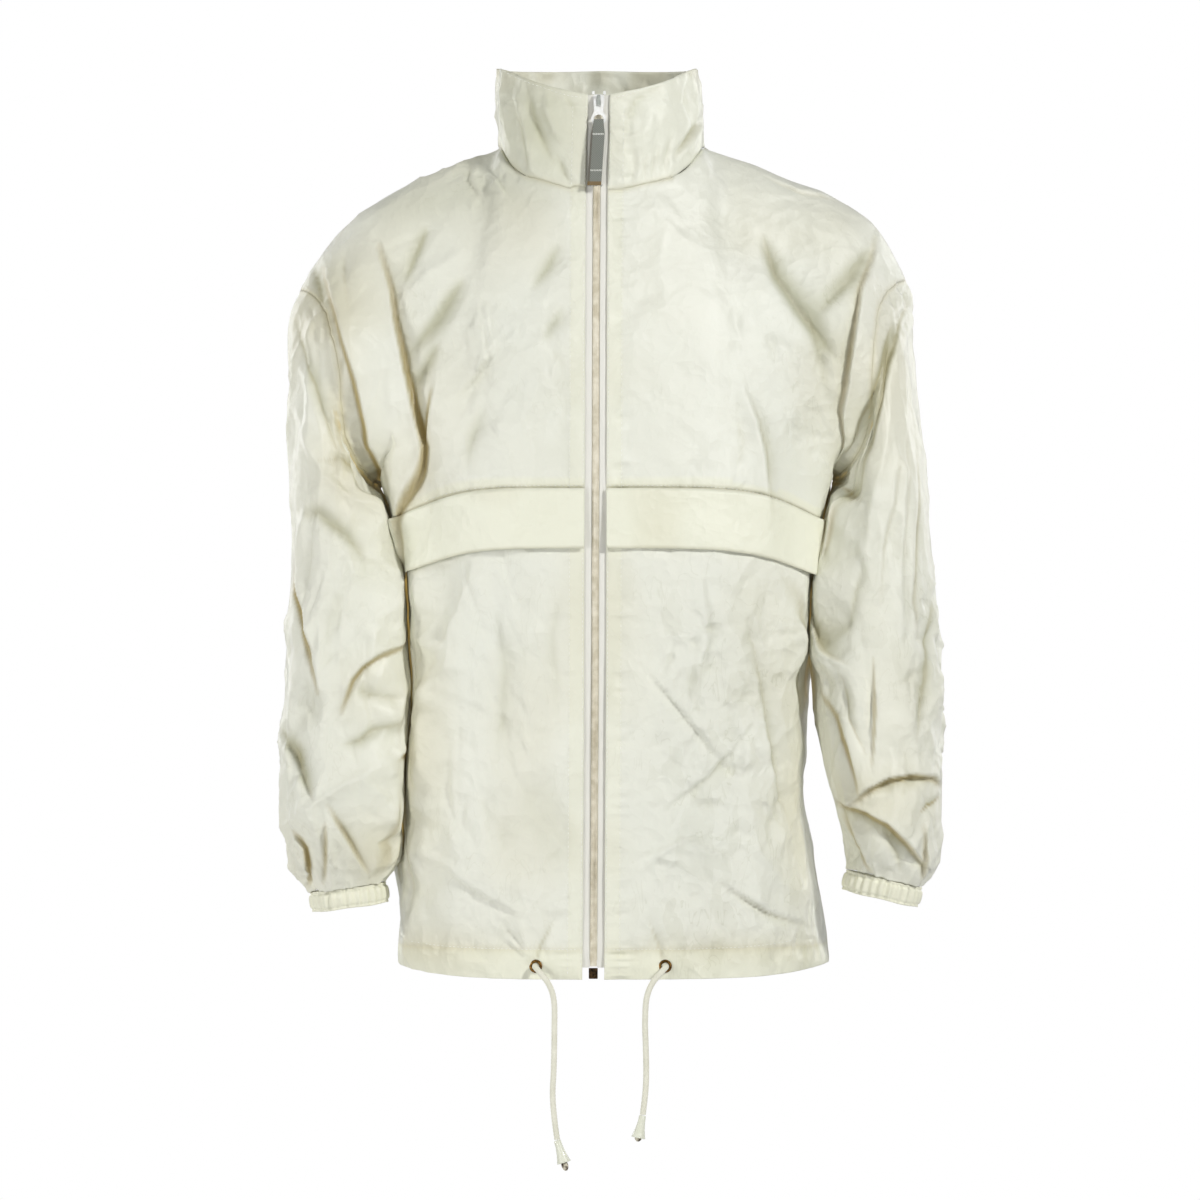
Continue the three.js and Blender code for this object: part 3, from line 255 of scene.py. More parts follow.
def crinkle_height(tree, coordinate):
    """Small sharp creases: bent cells at two sizes and a soft noise."""
    bent = bent_place(tree, coordinate, coordinate, 24.0, 2.0, 0.03)
    heights = []
    for scale, share in ((34.0, 0.6), (85.0, 0.3)):
        cells = add_node(tree, "ShaderNodeTexVoronoi", {"Vector": bent, "Scale": scale}, feature="F1")
        heights.append(maths(tree, "MULTIPLY", cells.outputs["Distance"], share))
    fine = noise(tree, coordinate, 160.0, 3.0)
    total = maths(tree, "ADD", heights[0], heights[1])
    return maths(tree, "ADD", total, maths(tree, "MULTIPLY", fine, 0.12))


def crush_shade_marks(tree, coordinate, crush):
    """Painted shade of flat facets with sharp edges and of broken thin lines, 0 to 1, where the cloth was
    crushed.
    """
    slant = add_node(tree, "ShaderNodeMapping",
                     {"Vector": coordinate, "Rotation": (0, 0.55, 0), "Scale": (1, 1, 0.42)}).outputs[0]
    bent = bent_place(tree, coordinate, slant, 30.0, 3.0, 0.02)
    cells = add_node(tree, "ShaderNodeTexVoronoi", {"Vector": bent, "Scale": 62.0}, feature="F1")
    chance = add_node(tree, "ShaderNodeSeparateColor", {0: cells.outputs["Color"]})
    facet = maths(tree, "GREATER_THAN", chance.outputs[0], 0.8)
    facet = maths(tree, "MULTIPLY", facet, noise(tree, coordinate, 45.0))
    lines = noise(tree, slant, 48.0, 2.5, Distortion=1.1)
    away = maths(tree, "ABSOLUTE", maths(tree, "SUBTRACT", lines, 0.5))
    line = maths(tree, "SUBTRACT", 1.0, maths(tree, "MULTIPLY", away, 55.0), clamp=True)
    broken = noise(tree, coordinate, 33.0)
    line = maths(tree, "MULTIPLY", line, maths(tree, "GREATER_THAN", broken, 0.53))
    marks = maths(tree, "ADD", maths(tree, "MULTIPLY", facet, 0.2), maths(tree, "MULTIPLY", line, 0.22))
    strong = maths(tree, "POWER", crush, 1.6)
    return maths(tree, "MULTIPLY", marks, strong, clamp=True)


def make_taffeta(name, double_all=False):
    material, tree, shader = new_material(
        name, 0.42, Sheen_Weight=0.12, Sheen_Roughness=0.4, Coat_Weight=0.06, Coat_Roughness=0.3,
        IOR=1.5, Emission_Strength=0.45)
    place = object_place(tree)
    colour = mix_colour(tree, noise(tree, place, 7.0, 3.0), CREAM, CREAM_COOL)
    colour = mix_colour(tree, 1.0 if double_all else stored(tree, "double"), colour, DOUBLE)
    # Grime, with a painted tan shade added where cloth lies close to other cloth and on the sides.
    colour = mix_colour(tree, stored(tree, "grime_and_shade"), colour, GRIME_AND_SHADE)
    crush = stored(tree, "crush")
    # Painted grey-green shade of hollows and of crushed facets and lines.
    shade_marks = maths(tree, "ADD", stored(tree, "sage_shade"), crush_shade_marks(tree, place, crush), clamp=True)
    colour = mix_colour(tree, shade_marks, colour, SAGE_SHADE, "MULTIPLY")
    # Painted olive-brown shade of folds and of cloth lying close to other cloth.
    colour = mix_colour(tree, stored(tree, "deep"), colour, OLIVE_SHADE)
    speck = add_node(tree, "ShaderNodeTexVoronoi", {"Vector": place, "Scale": 26.0}, feature="F1")
    dot = maths(tree, "LESS_THAN", speck.outputs["Distance"], 0.022)
    dot = maths(tree, "MULTIPLY", dot, maths(tree, "GREATER_THAN", noise(tree, place, 9.0), 0.66))
    colour = mix_colour(tree, maths(tree, "MULTIPLY", dot, 0.5), colour, SPECK)
    tree.links.new(colour, shader.inputs["Base Color"])
    glow = mix_colour(tree, stored(tree, "glow"), (0, 0, 0, 1), THROUGH)
    tree.links.new(glow, shader.inputs["Emission Color"])
    weave = weave_height(tree, place, 1500.0)
    height = maths(tree, "ADD", crinkle_height(tree, place), maths(tree, "MULTIPLY", weave, 0.02))
    depth = maths(tree, "ADD", maths(tree, "MULTIPLY", crush, 0.75), 0.25)
    bump_into(tree, shader, maths(tree, "MULTIPLY", height, depth), 1.0, 0.0052)
    spread = add_node(tree, "ShaderNodeMapRange",
                      {"Value": noise(tree, place, 30.0, 2.0), "To Min": 0.33, "To Max": 0.48})
    tree.links.new(spread.outputs[0], shader.inputs["Roughness"])
    return material


taffeta = make_taffeta("taffeta")
taffeta_double = make_taffeta("taffeta double", double_all=True)
print("cloth materials", taffeta.name, taffeta_double.name)

# %% [markdown]
# ## The drawcords
# Two braided ends hang out of the hem's eyelets, each shown from end to end. A smooth line of
# points follows each route, straight out of the eyelet and then down, and a tube is swept round it
# so that the braid can stand up from it: the radius swells where two bundles cross.

# %% Routes of the cords, in millimetres, from the eyelet down
CORD_DIAMETER = 5.4
CORD_ROUTES = {
    "right": [
        (-57, -136.6, -735), (-57.6, -142, -735.2), (-54, -147.5, -739), (-45, -150, -751), (-41, -149, -764),
        (-40.5, -148, -793), (-41, -147, -825), (-42, -147, -848), (-40.5, -147.5, -869), (-38, -148, -888),
    ],
    "left": [
        (58, -137.1, -735), (58.5, -142, -735.2), (55, -147.2, -739), (46, -149.5, -750), (41.5, -149, -762),
        (40, -148, -782), (40.5, -147, -804), (41, -147, -825), (40.5, -147.5, -843), (38, -148, -866),
    ],
}
CORD_ENDS = {
    "right": ((-38, -148, -888.4), (-32, -149, -908), 7),
    "left": ((37.9, -148, -866.4), (34, -149, -886), 3),
}


def smooth_route(points, count):
    """Points evenly along a centripetal curve through the route."""
    points = [Vector(p) for p in points]
    ends = [points[0] * 2 - points[1], *points, points[-1] * 2 - points[-2]]
    dense = []
    for a, b, c, d in zip(ends, ends[1:], ends[2:], ends[3:]):
        t0, t1 = 0.0, (b - a).length ** 0.5
        t2 = t1 + (c - b).length ** 0.5
        t3 = t2 + (d - c).length ** 0.5
        for k in range(24):
            t = t1 + (t2 - t1) * k / 24
            a1 = a * ((t1 - t) / (t1 - t0)) + b * ((t - t0) / (t1 - t0))
            a2 = b * ((t2 - t) / (t2 - t1)) + c * ((t - t1) / (t2 - t1))
            a3 = c * ((t3 - t) / (t3 - t2)) + d * ((t - t2) / (t3 - t2))
            b1 = a1 * ((t2 - t) / (t2 - t0)) + a2 * ((t - t0) / (t2 - t0))
            b2 = a2 * ((t3 - t) / (t3 - t1)) + a3 * ((t - t1) / (t3 - t1))
            dense.append(b1 * ((t2 - t) / (t2 - t1)) + b2 * ((t - t1) / (t2 - t1)))
    dense.append(points[-1])
    lengths = np.cumsum([0] + [(q - p).length for p, q in zip(dense, dense[1:])])
    result = []
    for place in np.linspace(0, lengths[-1], count):
        k = min(int(np.searchsorted(lengths, place, "right")), len(dense) - 1)
        t = (place - lengths[k - 1]) / max(lengths[k] - lengths[k - 1], 1e-9)
        result.append(dense[k - 1].lerp(dense[k], t))
    return result, float(lengths[-1])


# %% [markdown]
# A braid shows as slanting bundles in both directions. The tube is swept ring by ring with
# bmesh's extrude, so each ring's place along the cord is known and its radius can follow the braid.

# %% Sweep a braided tube
def new_object(name, bm, material, body=jacket_body):
    """A finished bmesh as an object that rides on a body."""
    mesh = bpy.data.meshes.new(name)
    bm.to_mesh(mesh)
    bm.free()
    piece = bpy.data.objects.new(name, mesh)
    bpy.context.scene.collection.objects.link(piece)
    mesh.materials.append(material)
    mesh.shade_smooth()
    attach(piece, body)
    return piece


def tree_of(mesh):
    """A search tree over a mesh's faces."""
    return BVHTree.FromPolygons([v.co.copy() for v in mesh.vertices],
                                [tuple(p.vertices) for p in mesh.polygons])


def swept_tube(points, radius_at, sides):
    """Closed tube round a line of points, extruded ring by ring."""
    bm = bmesh.new()
    tangent = (points[1] - points[0]).normalized()
    across = tangent.orthogonal().normalized()
    ring = list(bmesh.ops.create_circle(bm, segments=sides, radius=1.0, cap_ends=True)["verts"])
    face = bm.faces[:][0]
    for index, centre in enumerate(points):
        if index > 0:
            step = bmesh.ops.extrude_face_region(bm, geom=[face])
            new_faces = [g for g in step["geom"] if isinstance(g, bmesh.types.BMFace)]
            if face.is_valid and index > 1:
                bmesh.ops.delete(bm, geom=[face], context="FACES_ONLY")
            face = new_faces[0]
            ring = list(face.verts)
            after = points[min(index + 1, len(points) - 1)]
            tangent = (after - points[index - 1]).normalized()
            across = (across - tangent * across.dot(tangent)).normalized()
        side = tangent.cross(across)
        for k, vertex in enumerate(ring):
            angle = 2 * math.pi * k / sides
            radius = radius_at(index, angle)
            vertex.co = centre + (across * math.cos(angle) + side * math.sin(angle)) * radius
    bmesh.ops.recalc_face_normals(bm, faces=bm.faces[:])
    return bm


BRAID_BUNDLES = 6
BRAID_PITCH = 9.0  # mm along the cord for one turn of a bundle


def make_cord_material():
    material, tree, shader = new_material("cord", 0.75, Sheen_Weight=0.25)
    place = object_place(tree)
    colour = mix_colour(tree, noise(tree, place, 90.0, 4.0), srgb("F0EEDF"), srgb("D8D6C2"))
    tree.links.new(colour, shader.inputs["Base Color"])
    bump_into(tree, shader, noise(tree, place, 900.0, 2.0), 0.4, 0.0004)
    return material


cord_material = make_cord_material()
cord_pieces = {}
for side in SIDES:
    rings = 260
    route, route_length = smooth_route(CORD_ROUTES[side], rings)
    step_mm = route_length / (rings - 1)

    def braid_radius(index, angle, step_mm=step_mm):
        turn = 2 * math.pi * index * step_mm / BRAID_PITCH
        one = math.cos(BRAID_BUNDLES / 2 * (angle + turn))
        other = math.cos(BRAID_BUNDLES / 2 * (angle - turn))
        return (CORD_DIAMETER / 2 * (0.93 + 0.07 * max(one, other))) * MM

    metres = [p * MM for p in route]
    tube = swept_tube(metres, braid_radius, 18)
    cord = new_object(f"braided_cord_{side}", tube, cord_material)
    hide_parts(f"drawcord_{side}")
    cord_pieces[side] = (cord, metres, route_length * MM)
    print(cord.name, "length mm", round(route_length, 1), "faces", len(cord.data.polygons))

# %% [markdown]
# Each cord ends in a moulded bell with a melted tip. Both are turned shapes: a profile is spun
# round the cord's line with bmesh's spin, and moved to its end.

# %% Bells and melted tips
def spun(profile, steps=32):
    """Round solid from a profile of (radius, height) pairs whose ends lie on the axis."""
    bm = bmesh.new()
    vertices = [bm.verts.new((r * MM, 0, h * MM)) for r, h in profile]
    edges = [bm.edges.new(pair) for pair in zip(vertices, vertices[1:])]
    bmesh.ops.spin(bm, geom=vertices + edges, cent=(0, 0, 0), axis=(0, 0, 1), angle=2 * math.pi,
                   steps=steps, use_merge=True)
    bmesh.ops.remove_doubles(bm, verts=bm.verts[:], dist=1e-6)
    bmesh.ops.recalc_face_normals(bm, faces=bm.faces[:])
    return bm


def place_along(bm, start, end):
    """Turns a shape made along +Z so that it runs from start towards end."""
    turn = (Vector(end) - Vector(start)).to_track_quat("Z", "Y").to_matrix().to_4x4()
    bmesh.ops.transform(bm, matrix=Matrix.Translation(Vector(start) * MM) @ turn, verts=bm.verts[:])


def make_moulded_material():
    material, tree, shader = new_material("moulded end", 0.38, Coat_Weight=0.15)
    cloud = noise(tree, object_place(tree), 160.0, 3.0)
    tree.links.new(mix_colour(tree, cloud, srgb("EDEEDF"), srgb("D9DAC4")), shader.inputs["Base Color"])
    bump_into(tree, shader, cloud, 0.2, 0.0005)
    return material


def make_burnt_material():
    material, tree, shader = new_material("burnt tip", 0.6)
    cloud = noise(tree, object_place(tree), 420.0, 4.0)
    ramp = add_node(tree, "ShaderNodeValToRGB", {"Fac": cloud})
    ramp.color_ramp.elements[0].position = 0.4
    ramp.color_ramp.elements[0].color = srgb("4A3B2C")
    ramp.color_ramp.elements[1].position = 0.62
    ramp.color_ramp.elements[1].color = srgb("D9D2BC")
    tree.links.new(ramp.outputs["Color"], shader.inputs["Base Color"])
    bump_into(tree, shader, cloud, 0.8, 0.001)
    return material


moulded_material = make_moulded_material()
burnt_material = make_burnt_material()
for side in SIDES:
    start, end, tip = CORD_ENDS[side]
    length = (Vector(end) - Vector(start)).length
    bell = spun([(0, 0.3), (2.6, 0.3), (3.1, 1.0), (3.3, length * 0.3), (4.2, length * 0.62),
                 (5.6, length * 0.9), (6.2, length - 0.2), (6.1, length + 0.4), (5.4, length + 0.5),
                 (4.4, length - 2.5), (0, length - 3.0)])
    place_along(bell, start, end)
    bell_piece = new_object(f"cord_bell_{side}", bell, moulded_material)
    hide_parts(f"cord_end_{side}")
    begin = length - 3
    knot = spun([(0, begin), (2.2, begin + 0.4), (2.7, begin + 3), (3.0, length + tip * 0.5),
                 (2.2, length + tip * 0.85), (1.2, length + tip + 0.6), (0, length + tip + 0.8)], 20)
    for vertex in knot.verts:
        wobble = 0.25 * math.sin(vertex.co.x * 3100) * math.sin(vertex.co.z * 1700 + vertex.co.y * 2300)
        vertex.co.x *= 1 + wobble
        vertex.co.y *= 1 - wobble
    place_along(knot, start, end)
    knot_piece = new_object(f"cord_melted_tip_{side}", knot, burnt_material)
    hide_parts(f"cord_tip_{side}")
    cord, path, cord_length = cord_pieces[side]
    print(bell_piece.name, knot_piece.name)

# %% [markdown]
# ## One shell of cloth
# The panels meet at seams, and creases run on across them. So the outer faces of all panels are
# first joined into one mesh, in which points up to 1.2 mm apart are merged, and each face keeps
# the number of its panel. That closes the seams, except for about a quarter of the neck seam, at
# the back and on the wearer's left, where the collar stays up to 1.5 mm off. Subdivision then
# rounds the coarse solids, the creases move its points, and at the end the shell is cut into its
# panels again. Copies of the solids are merged first, since their triangles arrive loose.

# %% Outer faces of a solid
PANELS = ["front_upper_right", "front_upper_left", "front_lower_right", "front_lower_left",
          "back", "sleeve_right", "sleeve_left", "collar"]
ARM_CENTRE = {"sleeve_right": -234, "sleeve_left": 250}


def faces_outside(bm, centre_x):
    """Faces of the larger skin that looks away from the wearer."""
    bm.faces.ensure_lookup_table()
    unseen = set(bm.faces)
    best = None
    while unseen:
        stack = [unseen.pop()]
        island = []
        while stack:
            face = stack.pop()
            island.append(face)
            for edge in face.edges:
                if len(edge.link_faces) != 2 or edge.calc_face_angle(0) > math.radians(52):
                    continue
                for other in edge.link_faces:
                    if other in unseen:
                        unseen.remove(other)
                        stack.append(other)
        area = sum(f.calc_area() for f in island)
        outwards = sum(f.normal.dot(f.calc_center_median() - Vector((centre_x, 0, f.calc_center_median().z)))
                       for f in island)
        if outwards > 0 and (best is None or area > best[0]):
            best = (area, island)
    return best[1]


def panel_skin(node):
    """The outer skin of a node as a bmesh of quads."""
    bm = bmesh.new()
    bm.from_mesh(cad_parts[node].data)
    bmesh.ops.remove_doubles(bm, verts=bm.verts[:], dist=1e-6)
    bm.normal_update()
    keep = set(faces_outside(bm, ARM_CENTRE.get(node, 5) * MM))
    bmesh.ops.delete(bm, geom=[f for f in bm.faces if f not in keep], context="FACES")
    bmesh.ops.join_triangles(bm, faces=bm.faces[:], angle_face_threshold=math.pi,
                             angle_shape_threshold=math.pi, topology_influence=1.0)
    return bm


skins = {name: panel_skin(name) for name in PANELS}
for name, bm in skins.items():
    print(name, len(bm.faces), "faces, of which quads", sum(len(f.verts) == 4 for f in bm.faces))

# %% Join the skins, close the seams and subdivide
SHELL_LEVELS = 3
whole = bmesh.new()
for number, name in enumerate(PANELS):
    mesh = bpy.data.meshes.new("skin")
    skins[name].to_mesh(mesh)
    skins[name].free()
    before = len(whole.faces)
    whole.from_mesh(mesh)
    whole.faces.ensure_lookup_table()
    for face in whole.faces[before:]:
        face.material_index = number
    bpy.data.meshes.remove(mesh)
bmesh.ops.remove_doubles(whole, verts=whole.verts[:], dist=0.0012)
tall_rows = []
for edge in whole.edges:
    run = edge.verts[1].co - edge.verts[0].co
    height = (edge.verts[0].co.z + edge.verts[1].co.z) / 2 / MM
    names = {PANELS[face.material_index] for face in edge.link_faces}
    lower = names & {"front_lower_right", "front_lower_left"} and height < -380
    arm = names & {"sleeve_right", "sleeve_left"} and height < -400
    if (lower or arm) and "back" not in names and abs(run.z) > 0.6 * run.length:
        tall_rows.append(edge)
bmesh.ops.subdivide_edges(whole, edges=tall_rows, cuts=1, use_grid_fill=True)
shell_mesh = bpy.data.meshes.new("shell")
whole.to_mesh(shell_mesh)
print("rows split", len(tall_rows))
print("open edges", sum(e.is_boundary for e in whole.edges),
      "bad", sum(len(e.link_faces) > 2 for e in whole.edges))
whole.free()
for name in PANELS:
    shell_mesh.materials.append(taffeta)
shell = bpy.data.objects.new("shell", shell_mesh)
bpy.context.scene.collection.objects.link(shell)


def subdivided(piece, levels):
    """The piece's mesh with its subdivision made real."""
    modifier = piece.modifiers.new("round", "SUBSURF")
    modifier.levels = levels
    modifier.render_levels = levels
    modifier.boundary_smooth = "PRESERVE_CORNERS"
    modifier.use_limit_surface = False
    graph = bpy.context.evaluated_depsgraph_get()
    result = bpy.data.meshes.new_from_object(piece.evaluated_get(graph), depsgraph=graph)
    piece.modifiers.remove(modifier)
    return result


fine_mesh = subdivided(shell, SHELL_LEVELS)
shell.data = fine_mesh
print("shell", len(fine_mesh.vertices), "points", len(fine_mesh.polygons), "faces")

# %% [markdown]
# ## What each point of the shell knows
# The creases need a point's place in millimetres, its normal, which part it belongs to, and how
# far it is from the seams. All of these are arrays, so that a crease is a line of arithmetic on
# the whole shell at once.

# %% Arrays over the shell
def array_of(mesh, what, width=3):
    values = np.empty(len(mesh.vertices) * width, np.float32)
    mesh.vertices.foreach_get(what, values)
    return values.reshape(-1, width).astype(np.float64)


def panels_at(mesh):
    """Which panels each point belongs to."""
    panel = np.empty(len(mesh.polygons), np.int32)
    mesh.polygons.foreach_get("material_index", panel)
    corners = np.empty(len(mesh.loops), np.int32)
    mesh.loops.foreach_get("vertex_index", corners)
    totals = np.empty(len(mesh.polygons), np.int32)
    mesh.polygons.foreach_get("loop_total", totals)
    loop_panel = np.repeat(panel, totals)
    belongs = np.zeros((len(mesh.vertices), len(PANELS)), bool)
    belongs[corners, loop_panel] = True
    return belongs


def distance_to(points, chosen):
    """Distance in mm of every point to the nearest chosen one."""
    tree = KDTree(int(chosen.sum()))
    for k, index in enumerate(np.flatnonzero(chosen)):
        tree.insert(points[index], k)
    tree.balance()
    return np.array([tree.find(p)[2] for p in points])


place = array_of(shell.data, "co") / MM
normal = array_of(shell.data, "normal")
belongs = panels_at(shell.data)
sleeve_columns = [PANELS.index("sleeve_right"), PANELS.index("sleeve_left")]
collar_column = PANELS.index("collar")
body_columns = [k for k in range(len(PANELS)) if k not in sleeve_columns + [collar_column]]
on_sleeve = belongs[:, sleeve_columns].any(1)
on_collar = belongs[:, collar_column]
on_body = belongs[:, body_columns].any(1)
armhole = on_sleeve & on_body
neckline = on_collar & on_body
seam = belongs.sum(1) > 1
far_armhole = distance_to(place, armhole)
far_neckline = distance_to(place, neckline)
far_seam = distance_to(place, seam)
print("points on seams", int(seam.sum()), "on armholes", int(armhole.sum()))

SEAM_FADE = 12.0
mask_body = np.where(on_body, 1.0, np.exp(-(far_armhole / SEAM_FADE) ** 2) * ~on_collar)
mask_sleeve = np.where(on_sleeve, 1.0, np.exp(-(far_armhole / SEAM_FADE) ** 2) * ~on_collar)
mask_collar = on_collar * (1 - np.exp(-(far_neckline / 6) ** 2))
